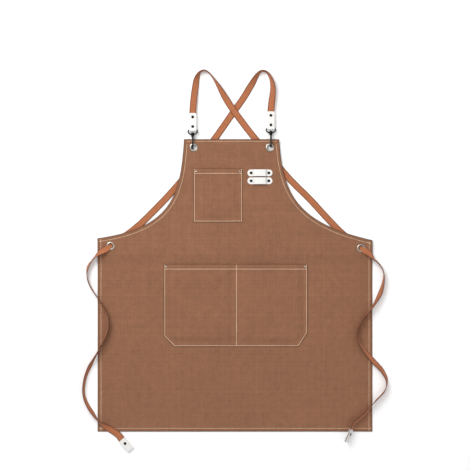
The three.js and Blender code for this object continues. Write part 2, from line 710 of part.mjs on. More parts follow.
function gate() {
  const free = HOOK_TIP + GAP - HOOK_NECK;
  const half = WIRE / 2;
  const bar = polygon([
    [-GATE_EAR, -half], [-GATE_EAR, half], [free + 0.4, half], [free, half - 0.5], [free, -half],
  ]);
  const thick = HOOK_THICK / 2;
  const body = sideways(bar, -thick, thick);
  const ear = new THREE.Shape();
  ear.moveTo(-GATE_EAR - 1, -half + 0.2);
  ear.lineTo(-GATE_EAR - 1, half - 0.2);
  ear.absarc(0, 0, half - 0.2, Math.PI / 2, -Math.PI / 2, true);
  const tongue = sideways(ear, ...TONGUE);
  const bore = new THREE.CylinderGeometry(PIN_RADIUS + PIN_RUNNING, PIN_RADIUS + PIN_RUNNING, 9, 10);
  const made = cut(join(body, tongue), bore.rotateZ(Math.PI / 2));
  return made.translate(0, HOOK_NECK, HOOK_MIDLINE);
}

function gateSpring() {
  const { radius, wire, from, turns, pitch, leg } = SPRING;
  const coil = Array.from({ length: 10 * turns + 1 }, (_, k) => {
    const angle = -Math.PI / 2 - (2 * Math.PI * k) / 10;
    return [from + (pitch * k) / 10, radius * Math.cos(angle), radius * Math.sin(angle)];
  });
  const start = [from, -leg, -radius];
  const end = [from + pitch * turns, -leg + 0.6, radius];
  const path = [start, ...coil, end];
  return wireAlong(path, 26, wire, 5).translate(0, HOOK_NECK, HOOK_MIDLINE);
}

function snapHook(side) {
  const seat = new THREE.Group();
  seat.position.set(CLIP[side][0], CLIP[side][1], CLIP_AXIS_Z);
  apron.add(seat);
  add(seat, side + "_clip_eye", swivelEye(), BLACK_METAL);
  add(seat, side + "_clip_hook", hookBody(), BLACK_METAL);
  add(seat, side + "_clip_gate", gate(), BLACK_METAL);
  add(seat, side + "_clip_gate_pin", pinAt(PIN_RADIUS, HOOK_THICK), BLACK_METAL);
  add(seat, side + "_clip_gate_spring", gateSpring(), BLACK_METAL);
}

function shoulderTab(side) {
  const seat = new THREE.Group();
  seat.position.set(CLIP[side][0], CLIP[side][1] + EYE_BAR, CLIP_AXIS_Z);
  apron.add(seat);
  add(seat, side + "_shoulder_tab", foldedTab(), WHITE_LEATHER);
  const outer = FOLD_GAP / 2 + LEATHER;
  TAB_RIVETS.forEach((along, i) => {
    const name = `${side}_tab_rivet_${i + 1}`;
    rivet(seat, name, [0, along], -outer, outer, BLACK_METAL);
  });
}

function strapAndTip(side) {
  const far = side === "left" ? "right" : "left";
  const [x, y] = CLIP[side];
  const tabHoles = TAB_RIVETS.map((along) => rivetHole([x, y + EYE_BAR + along], 0, 20));
  const seat = tipSeat(far);
  seat.updateMatrixWorld(true);
  const tipHole = rivetHole([0, TIP_RIVET], -9, 9).applyMatrix4(seat.matrixWorld);
  const strap = cut(band(strapRoute(side)), ...tabHoles, tipHole);
  add(apron, side + "_strap", strap, WEBBING_TAN);
  apron.add(seat);
  add(seat, far + "_tie_tip", foldedTip(), WHITE_LEATHER);
  const outer = FOLD_GAP / 2 + LEATHER;
  rivet(seat, far + "_tie_tip_rivet", [0, TIP_RIVET], -outer, outer, BLACK_METAL);
}

// Assembly

const loopRivets = ["upper", "lower"].flatMap((row) =>
  SIDES.map((side) => {
    const x = LOOP.x + ((side === "left" ? -1 : 1) * LOOP_RIVET_SPAN) / 2;
    return { name: `${row}_loop_rivet_${side}`, row, at: [x, LOOP[row + "Y"]] };
  }),
);
const pocketRivets = [["chest", CHEST], ["waist", WAIST]].flatMap(([name, pocket]) =>
  SIDES.map((side) => {
    const x = side === "left" ? pocket.left + pocket.rivetIn : pocket.right - pocket.rivetIn;
    return { name: `${name}_pocket_rivet_${side}`, pocket, at: [x, pocket.top - pocket.rivetDown] };
  }),
);
const eyeletHoles = SIDES.flatMap((side) => [BIB_GROMMET[side], WAIST_GROMMET[side]]).map(([x, y]) =>
  disc(EYELET_HOLE, -5, 20, x, y, EYELET_SIDES),
);
const rivetHoles = [...loopRivets, ...pocketRivets].map(({ at }) => rivetHole(at, -5, 20));
add(apron, "apron_panel", panel([...eyeletHoles, ...rivetHoles]), CANVAS_BROWN);

const pocketHoles = (pocket) =>
  pocketRivets.filter((one) => one.pocket === pocket).map(({ at }) => rivetHole(at, -5, 20));
const chest = pouch([CHEST.left, CHEST.right], CHEST.top, BIB.front + GAP, () => CHEST.bottom);
add(apron, "chest_pocket", cut(chest, ...pocketHoles(CHEST)), CANVAS_BROWN);
const corners = [WAIST.left + WAIST_CORNER.left[0], WAIST.right - WAIST_CORNER.right[0]];
const seams = [WAIST.left, WAIST_DIVIDER, WAIST.right];
const waist = pouch(seams, WAIST.top, SKIRT.front + GAP, waistFloor, corners);
add(apron, "waist_pocket", cut(waist, ...pocketHoles(WAIST)), CANVAS_BROWN);
for (const { name, pocket, at } of pocketRivets) {
  const level = pocket === CHEST ? BIB : SKIRT;
  const front = level.front + GAP + CANVAS;
  rivet(apron, name, at, level.back, front, NICKEL, POCKET_RIVET_RADIUS);
}

for (const row of ["upper", "lower"]) {
  const own = loopRivets.filter((one) => one.row === row);
  const piece = toolLoop(LOOP[row + "Y"], own.map(({ at }) => at));
  add(apron, row + "_tool_loop", piece, WHITE_LEATHER);
  for (const { name, at } of own) {
    rivet(apron, name, at, BIB.back, BIB.front + GAP + LEATHER, BLACK_METAL);
  }
}

for (const side of SIDES) {
  grommet(side + "_bib", BIB_GROMMET[side], BIB);
  grommet(side + "_waist", WAIST_GROMMET[side], BIB);
  snapHook(side);
  shoulderTab(side);
  strapAndTip(side);
}

export default apron;
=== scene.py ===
import math

import bmesh
import bpy
import numpy as np
from bpy.props import FloatProperty, FloatVectorProperty, PointerProperty
from mathutils import Matrix, Vector
from mathutils.geometry import delaunay_2d_cdt


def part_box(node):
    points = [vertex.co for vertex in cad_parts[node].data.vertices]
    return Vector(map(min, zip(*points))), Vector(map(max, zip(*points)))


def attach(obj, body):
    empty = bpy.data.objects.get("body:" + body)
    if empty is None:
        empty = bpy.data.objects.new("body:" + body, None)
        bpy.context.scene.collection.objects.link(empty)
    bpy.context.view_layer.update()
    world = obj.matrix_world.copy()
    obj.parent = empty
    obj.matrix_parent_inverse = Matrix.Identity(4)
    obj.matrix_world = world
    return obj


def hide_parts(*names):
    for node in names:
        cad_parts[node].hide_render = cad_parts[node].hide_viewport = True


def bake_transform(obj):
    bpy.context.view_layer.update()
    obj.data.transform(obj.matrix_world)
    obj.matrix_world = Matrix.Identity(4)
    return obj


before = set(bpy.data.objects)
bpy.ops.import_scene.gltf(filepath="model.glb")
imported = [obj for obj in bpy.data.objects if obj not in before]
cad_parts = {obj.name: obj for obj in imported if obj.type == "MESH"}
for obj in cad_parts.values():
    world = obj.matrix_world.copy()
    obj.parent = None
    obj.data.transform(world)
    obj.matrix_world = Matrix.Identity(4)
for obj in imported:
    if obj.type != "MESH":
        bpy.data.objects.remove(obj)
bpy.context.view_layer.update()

bl_info = {
    "name": "Butcher Apron",
    "version": (1, 0, 0),
    "blender": (4, 5, 0),
    "location": "View3D > Sidebar > Apron",
    "description": "Builds a canvas cross-back apron with pockets, hardware, straps and ties",
    "category": "Add Mesh",
}

MM = 0.001
HEM_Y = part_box("apron_panel")[0][1]  # every y below is in millimetres up from this hem
BODY = "apron"
SIDES = ("left", "right")
OUTWARDS = {"left": -1, "right": 1}

# The panel's cut, in millimetres
PANEL_WIDTH = 702
PANEL_HEIGHT = 747
BIB_LEFT = -130.2
BIB_RIGHT = 112.8
WAIST_HEIGHT = {"left": 494, "right": 489}
ARMHOLE_FLARE = 8.5
ARMHOLE_DROP = 141
ARMHOLE_REACH = 193
ARMHOLE_RISE = {"left": 27, "right": 44}
CANVAS = 0.9
SKIRT_FRONT = 2.7
BIB_LIFT = 4.4
RISE = (426, 460)
HEM_WIDTH = 10
HEM_STITCH = 8.6
BIB_STITCH = 5.3
SEAM_GROOVE = 0.38
PUCKER = 0.32
HEM_SINK = 0.55  # how far the single layer lies below the hem's front

# What goes through the cloth
BIB_GROMMET = {"left": (-105.5, 726), "right": (89.1, 726)}
WAIST_GROMMET = {"left": (-317.7, 474.3), "right": (321.8, 469)}
EYELET_HOLE = 7.8
WASHER_THICK = 0.8
RIVET_CROWN = 1.5
RIVET_BACK = 0.8
POUCH_HEIGHT = 3.2
POUCH_SLOPE = (9, 26.6)  # distances from a seam over which the pouch rises
POCKET_HEM_STITCH = 12.8
POCKET_EDGE_STITCH = 2.6
POCKET_STITCH = 1.1  # weight of the pockets' thread
HEM_THREAD = 0.85  # weight of the hem's thread
CHEST = {"left": -106, "right": 19.6, "bottom": 535.4, "top": 672.5}
WAIST = {"left": -181.9, "right": 185.3, "bottom": 217.1, "top": 428.3}
WAIST_DIVIDER = 3.7
WAIST_CORNER = {"left": (27, 27), "right": (22.5, 35.5)}

# Rows of points in the cloth: in from a cut edge, out from a hole, and how far apart
PANEL_ROWS = [0.18, 0.55, 1.35, 3.2, 5.4, 7.4, 8.6, 9.9, 10.5, 13]
PANEL_GRID, PANEL_EDGE_STEP = 6.0, 3.4
HOLE_ROWS = (EYELET_HOLE, 10, 13, 17)
POCKET_ROWS = [0.2, 0.5, 1.0, 1.8, 2.6, 3.6, 6.5, 8.0, 10.5]
POCKET_GRID, POCKET_EDGE_STEP = 4.0, 3.0

# Leather, straps and clips
LEATHER = 1.6
RIVET_RADIUS = {"black_metal": 3.6, "nickel": 2.8}
TAB_WIDTH = 19
TAB_LENGTH = 44
TAB_CORNER = 4
LOOP_RISE = 5.2
TIP_LENGTH = 36
TIP_POCKET = TIP_LENGTH - 4
TIP_RIVET = 13
FOLD_GAP = 2.1
CLIP = {"left": (-107.8, 758.7), "right": (91.5, 762.8)}
CLIP_Z = 8.5
WIRE = 3.3
EYE_BAR = 10.7
HOOK_MIDLINE = 6.6
HOOK_NECK = -11.5
HOOK_BEND = -29.5
HOOK_TIP = -27.5
HOOK_THICK = 3.6
STRAP_WIDTH = 17
STRAP_THICK = 1.5
STRAP_NECK = 10
STRAP_STEP = 2.4
STRAP_ROUNDING = 0.62
LIFT = 0.3  # between pieces that touch
ABOVE_TABLE = 0.05

# The straps' free runs: x, y, height of what lies underneath, and the turn about the run in
# degrees, 0 flat and 90 on edge.
CROSS_BACK = {
    "left": [
        (-106.5, 832, 7.2, 8), (-104, 858, 5.6, 10), (-101, 881, 3.4, 16), (-97, 903, 0.8, 42),
        (-89, 918, 0, 84), (-77, 922.5, 0, 90), (-66, 916, 0, 90), (-54, 900.5, 0, 80),
        (-41, 880.5, 0.4, 56), (-29, 860, 1.2, 30), (-16, 839, 1.9, 10), (-2.4, 819, 1.9, 0),
        (11, 801, 1.6, 0), (29, 777, 0.2, 0), (53, 747, 0, 0), (97, 695, 0, 0),
        (142, 643, 0, 0), (193, 592, 0, 0), (240, 541, 0, 0), (275, 506, 0, 0),
    ],
    "right": [
        (93, 836, 7.2, -8), (95.5, 858, 4.8, -24), (96.5, 881, 2.2, -45),
        (91, 903, 0.4, -66), (82, 917, 0, -82), (69, 921, 0, -86), (58, 912, 0, -62),
        (45, 891, 0.2, -28), (34, 873, 0.1, -10), (22, 853.5, 0, 0), (-2.4, 819, 0, 0),
        (-53, 747, 0, 0), (-105, 680, 0, 0), (-157, 618, 0, 0), (-205, 567, 0, 0),
        (-256, 519, 0, 0),
    ],
}
TIE = {
    "left": [
        (-351.4, 451.5, 6.8, 68), (-365, 437, 1.5, 82), (-374.5, 422, 0.2, 64),
        (-378, 404, 0, 80), (-375, 386, 0.2, 88), (-365, 365, 2, 90), (-346, 337, 2.8, 86),
        (-327, 303, 2.8, 80), (-322.6, 280, 2.8, 78), (-325.5, 256, 2.8, 80),
        (-340, 223, 2.8, 86), (-356, 193, 2.4, 100), (-370, 168, 0.3, 118),
        (-380, 144, 0, 108), (-385.5, 118, 0, 104), (-385, 94, 0, 102), (-377, 71, 0.3, 108),
        (-364, 50, 1, 112), (-350, 31, 2.6, 90), (-337, 18.5, 2.8, 40), (-319.5, 7, 2.8, 8),
    ],
    "right": [
        (352, 443, 6.8, -70), (365.5, 431, 1.6, -80), (375.5, 417, 0.3, -78),
        (379.6, 401, 0, -88), (377.5, 378, 0, -104), (370, 353, 0.6, -124),
        (351, 320, 2.8, -96), (326, 288, 2.8, -84), (312.6, 258, 2.8, -82),
        (314, 236, 2.8, -76), (328, 211, 2.8, -62), (352, 182, 2.6, -40),
        (376.5, 155, 0.4, -52), (387.5, 130, 0, -68), (382, 106, 0.2, -86),
        (358, 80, 2.9, -88), (333, 48, 3, -56),
    ],
}
THROUGH = [
    (-9.4, 10.4, 1.1, 0, STRAP_NECK), (-4.1, 4.5, 1.8, 0, STRAP_NECK),
    (0, 0, 6.65, 0, STRAP_NECK), (5.4, -4.4, 10.9, 0, STRAP_NECK + 3),
    (15.5, -10.5, 11.2, 10, STRAP_WIDTH),
]
TIP = {
    "left": {"at": (-280.5, -29.4), "under": 3, "turn": 0, "heading": -50},
    "right": {"at": (291.5, -4), "under": 4.2, "turn": -64, "heading": -114},
}


# Sizes and colours that a user may change


class ClothSettings(bpy.types.PropertyGroup):
    """The canvas and the thread that it is sewn with"""

    canvas: FloatVectorProperty(
        name="Canvas", description="Colour of the canvas", subtype="COLOR", size=3,
        min=0, max=1, default=(0.262, 0.121, 0.066),
    )
    thread: FloatVectorProperty(
        name="Thread", description="Colour of the sewing thread", subtype="COLOR", size=3,
        min=0, max=1, default=(0.90, 0.69, 0.49),
    )
    yarn: FloatProperty(
        name="Yarn Pitch", description="Distance from one yarn of the canvas to the next",
        default=0.00073, min=0.0003, max=0.004, unit="LENGTH",
    )
    stitch: FloatProperty(
        name="Stitch Length", description="Length of one stitch and the gap after it",
        default=0.0052, min=0.002, max=0.012, unit="LENGTH",
    )
    thread_thickness: FloatProperty(
        name="Thread Thickness", description="Diameter of the sewing thread",
        default=0.0011, min=0.0003, max=0.003, unit="LENGTH",
    )
    softness: FloatProperty(
        name="Unevenness", description="Height of the soft waves in the cloth",
        default=0.0007, min=0, max=0.003, unit="LENGTH",
    )


class TrimSettings(bpy.types.PropertyGroup):
    """The webbing, the leather and the metal"""

    webbing: FloatVectorProperty(
        name="Webbing", description="Colour of the straps", subtype="COLOR", size=3,
        min=0, max=1, default=(0.420, 0.146, 0.064),
    )
    leather: FloatVectorProperty(
        name="Leather", description="Colour of the tabs, tips and loops", subtype="COLOR",
        size=3, min=0, max=1, default=(0.74, 0.725, 0.70),
    )
    black_metal: FloatVectorProperty(
        name="Black Metal", description="Colour of the hooks and of the leather's rivets",
        subtype="COLOR", size=3, min=0, max=1, default=(0.013, 0.013, 0.014),
    )
    nickel: FloatVectorProperty(
        name="Nickel", description="Colour of the grommets and of the pockets' rivets",
        subtype="COLOR", size=3, min=0, max=1, default=(0.33, 0.30, 0.26),
    )
    rib: FloatProperty(
        name="Webbing Rib", description="Distance from one rib of the webbing to the next",
        default=0.0012, min=0.0004, max=0.005, unit="LENGTH",
    )


class StageSettings(bpy.types.PropertyGroup):
    """The floor, the lights and the camera"""

    floor: FloatVectorProperty(
        name="Floor", description="Colour of the floor", subtype="COLOR", size=3,
        min=0, max=1, default=(0.93, 0.93, 0.93),
    )
    height: FloatProperty(
        name="Camera Height", description="Distance of the camera above the table",
        default=2.838, min=0.5, max=20, unit="LENGTH",
    )
    lens: FloatProperty(
        name="Lens", description="Focal length of the camera in millimetres",
        default=85, min=20, max=300,
    )


# Placing and making meshes


def place(x, y, z):
    """A point given in millimetres from the bottom hem, in the frame's metres."""
    return Vector((x * MM, HEM_Y + y * MM, z * MM))


def smoothstep(value, low, high):
    """0 below low, 1 above high, and a soft rise between."""
    share = np.clip((value - low) / (high - low), 0, 1)
    return share * share * (3 - 2 * share)


def mesh_object(name, verts, faces, finish, body, nodes=(), angle=40, closed=True):
    """A mesh from points in metres, shaded smooth but for its sharp edges."""
    mesh = bpy.data.meshes.new(name)
    mesh.from_pydata([tuple(v) for v in verts], [], [tuple(f) for f in faces])
    mesh.validate()
    mesh.shade_smooth()
    mesh.set_sharp_from_angle(angle=math.radians(angle))
    mesh.materials.append(material(finish))
    piece = bpy.data.objects.new(name, mesh)
    bpy.context.scene.collection.objects.link(piece)
    if body:
        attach(piece, body)
    if nodes:
        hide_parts(*nodes)
    if closed:
        facing_out(piece)
    return piece


def closed_piece(name, parts, finish, body, node, angle=50):
    """One object from several closed parts, which stands for one CAD node."""
    verts, faces = together(parts)
    return mesh_object(name, verts, faces, finish, body, [node], angle)


def lathe(profile, sides, matrix):
    """Points and faces of a closed profile of (radius, height) turned about the matrix's Z."""
    verts, faces = [], []
    rings = []
    for radius, height in profile:
        if radius < 1e-6:
            rings.append([len(verts)])
            verts.append(matrix @ Vector((0, 0, height * MM)))
            continue
        ring = []
        for k in range(sides):
            angle = 2 * math.pi * k / sides
            ring.append(len(verts))
            across = Vector((math.cos(angle), math.sin(angle), 0)) * radius * MM
            verts.append(matrix @ (across + Vector((0, 0, height * MM))))
        rings.append(ring)
    pairs = list(zip(rings, rings[1:]))
    if len(rings[0]) > 1 and len(rings[-1]) > 1:
        pairs.append((rings[-1], rings[0]))
    for low, high in pairs:
        for k in range(sides):
            n = (k + 1) % sides
            if len(low) == 1:
                faces.append((low[0], high[n], high[k]))
            elif len(high) == 1:
                faces.append((low[k], low[n], high[0]))
            else:
                faces.append((low[k], low[n], high[n], high[k]))
    return verts, faces


def together(parts):
    """Several (points, faces) as one."""
    verts, faces = [], []
    for part_verts, part_faces in parts:
        base = len(verts)
        verts.extend(part_verts)
        faces.extend([tuple(base + i for i in face) for face in part_faces])
    return verts, faces


def facing_out(piece):
    """Turns every face of a closed mesh outwards."""
    mesh = bmesh.new()
    mesh.from_mesh(piece.data)
    bmesh.ops.recalc_face_normals(mesh, faces=mesh.faces)
    mesh.to_mesh(piece.data)
    mesh.free()


def ring_faces(rings, sides):
    """The faces of a closed tube whose rings of points follow each other."""
    faces = []
    for k in range((rings - 1) * sides):
        n = k + 1 if (k + 1) % sides else k + 1 - sides
        faces.append((k, n, n + sides, k + sides))
    faces.append(tuple(reversed(range(sides))))
    faces.append(tuple((rings - 1) * sides + k for k in range(sides)))
    return faces


def smooth_line(points, step):
    """Centripetal spline through rows of numbers whose first three are a place, all in one unit.

    Every column is carried along, and the rows come back about a step apart.
    """
    rows = np.array(points, float)
    padded = np.vstack([2 * rows[0] - rows[1], rows, 2 * rows[-1] - rows[-2]])
    gaps = np.sqrt(np.linalg.norm(np.diff(padded[:, :3], axis=0), axis=1))
    knots = np.concatenate([[0], np.cumsum(gaps)])
    out = []
    for i in range(1, len(padded) - 2):
        count = max(1, round(np.linalg.norm(padded[i + 1, :3] - padded[i, :3]) / step))
        for t in np.linspace(knots[i], knots[i + 1], count, endpoint=False):
            out.append(spline_point(padded, knots, i, t))
    out.append(rows[-1])
    return np.array(out)


def spline_point(rows, knots, i, t):
    """One row of the spline between padded rows i and i + 1; all but the place is linear."""

    def mix(a, b, ta, tb):
        return a * (tb - t) / (tb - ta) + b * (t - ta) / (tb - ta)

    k = knots[i - 1 : i + 3]
    p = rows[i - 1 : i + 3]
    first = [mix(p[n], p[n + 1], k[n], k[n + 1]) for n in range(3)]
    second = [mix(first[n], first[n + 1], k[n], k[n + 2]) for n in range(2)]
    point = mix(second[0], second[1], k[1], k[2])
    share = (t - k[1]) / (k[2] - k[1])
    point[3:] = p[1][3:] * (1 - share) + p[2][3:] * share
    return point


BROAD_FACES = (3, 11)  # the section's points that its two broad faces start from


def band_section(half_width, half_thick, rounding):
    """Sixteen points round a flat band's section, four on each rounded corner."""
    corner = min(rounding, half_thick * 0.98, half_width * 0.98)
    points = []
    for quarter in range(4):
        sx = 1 if quarter in (0, 3) else -1
        sy = 1 if quarter in (0, 1) else -1
        for k in range(4):
            angle = math.pi / 2 * (quarter + k / 3)
            points.append((
                sx * (half_width - corner) + corner * math.cos(angle),
                sy * (half_thick - corner) + corner * math.sin(angle),
            ))
    return points


def flat_band(sections, rounding, crosswise=5):
    """A closed band from sections of (centre, width vector, face vector, width, thickness).

    Returns points, faces, and for each point where it lies along and across, in metres.
    """
    verts, faces, places = [], [], []
    rings = []
    run = 0.0
    for i, (centre, across, face, width, thick) in enumerate(sections):
        if i:
            run += (centre - sections[i - 1][0]).length
        outline = band_section(width / 2, thick / 2, rounding)
        ring_points = []
        for n, start in enumerate(outline):
            ring_points.append(start)
            if n in BROAD_FACES:
                end = outline[(n + 1) % len(outline)]
                for k in range(1, crosswise + 1):
                    share = k / (crosswise + 1)
                    ring_points.append((
                        start[0] + (end[0] - start[0]) * share,
                        start[1] + (end[1] - start[1]) * share,
                    ))
        rings.append(range(len(verts), len(verts) + len(ring_points)))
        verts += [centre + across * x + face * y for x, y in ring_points]
        places += [(x, run) for x, _ in ring_points]
    count = len(rings[0])
    for low, high in zip(rings, rings[1:]):
        for k in range(count):
            n = (k + 1) % count
            faces.append((low[k], low[n], high[n], high[k]))
    faces.append(tuple(reversed(rings[0])))
    faces.append(tuple(rings[-1]))
    return verts, faces, places


def mark_run(piece, places):
    """Keeps how far across and along the band each point lies, for the weave."""
    layer = piece.data.uv_layers.new(name="run")
    for loop in piece.data.loops:
        layer.data[loop.index].uv = places[loop.vertex_index]


# Cloth cut from an outline


def bezier(a, b, c, d, steps):
    """Points along a cubic curve from a to d."""
    t = np.linspace(0, 1, steps + 1)[:, None]
    a, b, c, d = (np.array(p, float) for p in (a, b, c, d))
    return (1 - t) ** 3 * a + 3 * (1 - t) ** 2 * t * b + 3 * (1 - t) * t * t * c + t**3 * d


def armhole(side):
    """From the bib's corner down to the waist's."""
    out = OUTWARDS[side]
    bib = BIB_LEFT if side == "left" else BIB_RIGHT
    edge = out * PANEL_WIDTH / 2
    waist = WAIST_HEIGHT[side]
    return bezier(
        (bib, PANEL_HEIGHT),
        (bib + out * ARMHOLE_FLARE, PANEL_HEIGHT - ARMHOLE_DROP),
        (edge - out * ARMHOLE_REACH, waist + ARMHOLE_RISE[side]),
        (edge, waist),
        60,
    )


def panel_outline():
    """The panel's cut edge, anticlockwise from the hem's left corner."""
    half = PANEL_WIDTH / 2
    corners = np.array([(-half, 0), (half, 0)], float)
    return np.vstack([corners, armhole("right")[::-1], armhole("left")])


def resample(points, step, closed=True):
    """The line with points about a step apart, its own sharp corners kept."""
    ends = np.vstack([points, points[:1]]) if closed else np.array(points)
    out = []
    for a, b in zip(ends, ends[1:]):
        count = max(1, round(np.linalg.norm(b - a) / step))
        for k in range(count):
            out.append(a + (b - a) * k / count)
    if not closed:
        out.append(ends[-1])
    return np.array(out)


def inset(points, distance):
    """The closed line moved to its left by a distance."""
    a = points - np.roll(points, 1, axis=0)
    b = np.roll(points, -1, axis=0) - points
    a /= np.linalg.norm(a, axis=1)[:, None]
    b /= np.linalg.norm(b, axis=1)[:, None]
    normal = np.stack([-a[:, 1] - b[:, 1], a[:, 0] + b[:, 0]], axis=1)
    normal /= np.linalg.norm(normal, axis=1)[:, None]
    reach = np.maximum(0.3, -normal[:, 0] * a[:, 1] + normal[:, 1] * a[:, 0])
    return points + normal * (distance / reach)[:, None]


def distance_to(points, line, closed=True):
    """How far each point is from a line."""
    ends = np.vstack([line, line[:1]]) if closed else np.array(line)
    best = np.full(len(points), 1e9)
    for a, b in zip(ends, ends[1:]):
        along = b - a
        share = np.clip(((points - a) @ along) / max(along @ along, 1e-12), 0, 1)
        gap = points - a - share[:, None] * along
        best = np.minimum(best, np.hypot(gap[:, 0], gap[:, 1]))
    return best


def inside(points, line):
    """Which points lie inside a closed line."""
    b = np.roll(line, -1, axis=0)
    hit = np.zeros(len(points), bool)
    x, y = points[:, 0], points[:, 1]
    for (ax, ay), (bx, by) in zip(line, b):
        if ay == by:
            continue
        crosses = (ay > y) != (by > y)
        hit ^= crosses & (x < (bx - ax) * (y - ay) / (by - ay) + ax)
    return hit


def rolled_edge(edge, radius):
    """How far a rounded edge falls away, from the distance to it."""
    near = np.clip(radius - edge, 0, radius)
    return radius - np.sqrt(np.maximum(0, radius**2 - near**2))


def from_the_gap(row):
    """A closed row of points turned so that it starts and ends at its widest gap."""
    first = int(np.argmax(np.linalg.norm(np.diff(row, axis=0), axis=1))) + 1
    return np.roll(row, -first, axis=0)


def clear_of_hardware(points, near, far):
    """0 close to any grommet or rivet, and 1 well away from them all."""
    clear = np.ones(len(points))
    for x, y in HARDWARE:
        clear *= smoothstep(np.hypot(points[:, 0] - x, points[:, 1] - y), near, far)
    return clear


def circle(x, y, radius, count):
    angle = np.arange(count) * 2 * math.pi / count
    return np.stack([x + radius * np.cos(angle), y + radius * np.sin(angle)], 1)


def cut_cloth(outline, insets, grid, edge_step, holes=(), creases=()):
    """A flat triangulated cut: its points and its triangles.

    Rows of points follow the outline at each inset, round each hole, and along each crease.
    """
    edge = resample(outline, edge_step)
    closed = [edge] + [inset(edge, distance) for distance in insets]
    closed += [
        circle(x, y, radius, 28 if radius < 13 else 20)
        for x, y, radii in holes for radius in radii
    ]
    low, high = outline.min(axis=0), outline.max(axis=0)
    xs = np.arange(low[0] + grid / 2, high[0], grid)
    ys = np.arange(low[1] + grid / 2, high[1], grid)
    mesh = np.stack(np.meshgrid(xs, ys), axis=-1).reshape(-1, 2)
    mesh[:, 0] += (np.round((mesh[:, 1] - low[1]) / grid) % 2) * grid / 2
    keep = inside(mesh, outline) & (distance_to(mesh, outline) > insets[-1] + grid * 0.45)
    for x, y, radii in holes:
        keep &= np.hypot(mesh[:, 0] - x, mesh[:, 1] - y) > radii[-1] + grid * 0.4
    for line in creases:
        keep &= distance_to(mesh, line, closed=False) > grid * 0.4
    flat = np.vstack([*closed, *creases, mesh[keep]])
    edges = []
    base = 0
    for row in (*closed, *creases):
        edges += [(base + k, base + k + 1) for k in range(len(row) - 1)]
        base += len(row)
    base = 0
    for row in closed:
        edges.append((base + len(row) - 1, base))
        base += len(row)
    made = delaunay_2d_cdt([Vector(p) for p in flat], edges, [], 0, 1e-4)
    verts = np.array([tuple(v) for v in made[0]])
    faces = np.array([tuple(f) for f in made[2]])
    middles = verts[faces].mean(axis=1)
    keep = inside(middles, edge)
    for x, y, radii in holes:
        keep &= np.hypot(middles[:, 0] - x, middles[:, 1] - y) > radii[0] * 0.98
    return verts, faces[keep]


def mark_cut_edge_shade(piece, outline, reach):
    """Keeps how near each point is to the cloth's cut edge, from 1 there to 0 inside, for the
    painted shade along that edge.
    """
    count = len(piece.data.vertices)
    points = np.zeros(count * 3)
    piece.data.vertices.foreach_get("co", points)
    points = points.reshape(-1, 3)[:, :2] / MM - np.array([0, HEM_Y / MM])
    layer = piece.data.attributes.new("cut_edge_shade", "FLOAT", "POINT")
    layer.data.foreach_set("value", np.exp(-((distance_to(points, outline) / reach) ** 2)))


def closed_sheet(flat, faces, upper, lower):
    """Two layers over one flat cut; where the layers meet, they share their points."""
    apart = np.flatnonzero(upper - lower > 1e-4)
    other = np.arange(len(flat))
    other[apart] = len(flat) + np.arange(len(apart))
    verts = [place(x, y, z) for (x, y), z in zip(flat, upper)]
    verts += [place(flat[i][0], flat[i][1], lower[i]) for i in apart]
    first = flat[faces[:, 1]] - flat[faces[:, 0]]
    second = flat[faces[:, 2]] - flat[faces[:, 0]]
    area = first[:, 0] * second[:, 1] - first[:, 1] * second[:, 0]
    skin = [tuple(f) if a > 0 else tuple(f)[::-1] for f, a in zip(faces, area)]
    under = [tuple(int(other[i]) for i in f[::-1]) for f in skin]
    seen = dict.fromkeys((a, b) for face in skin for a, b in zip(face, face[1:] + face[:1]))
    walls = [
        tuple(dict.fromkeys((b, a, int(other[a]), int(other[b]))))
        for a, b in seen
        if (b, a) not in seen and (other[a] != a or other[b] != b)
    ]
    return verts, skin + [u for u in under if len(set(u)) > 2] + [w for w in walls if len(w) > 2]


def wave_set(rng, shortest, longest, count):
    """Random waves as wave numbers in x and y, and a phase."""
    lengths = rng.uniform(shortest, longest, count)
    angles = rng.uniform(0, math.tau, count)
    phases = rng.uniform(0, math.tau, count)
    return [
        (math.tau / length * math.cos(a), math.tau / length * math.sin(a), phase)
        for length, a, phase in zip(lengths, angles, phases)
    ]


CHANCE = np.random.default_rng(11)
WAVE_SET = wave_set(CHANCE, 70, 240, 12)
WAVE_SHARES = CHANCE.uniform(0.5, 1, 12)
RIPPLE_SET = wave_set(CHANCE, 9, 26, 10)


def waves(points):
    """Soft unevenness from about -1 to 1."""
    x, y = points[:, 0], points[:, 1]
    rows = zip(WAVE_SET, WAVE_SHARES)
    return sum(share * np.sin(kx * x + ky * y + phase) for (kx, ky, phase), share in rows) / 3.2


def ripples(points):
    """Small puckers from about -1 to 1."""
    x, y = points[:, 0], points[:, 1]
    return sum(np.sin(kx * x + ky * y + phase) for kx, ky, phase in RIPPLE_SET) / 4


OUTLINE = panel_outline()
HARDWARE = [
    *BIB_GROMMET.values(), *WAIST_GROMMET.values(),
    (41.1, 660.9), (86.1, 660.9), (41.1, 640.6), (86.1, 640.6),
    (-98.8, 664.5), (12.4, 664.5), (-176.1, 421.3), (179.5, 421.3),
]


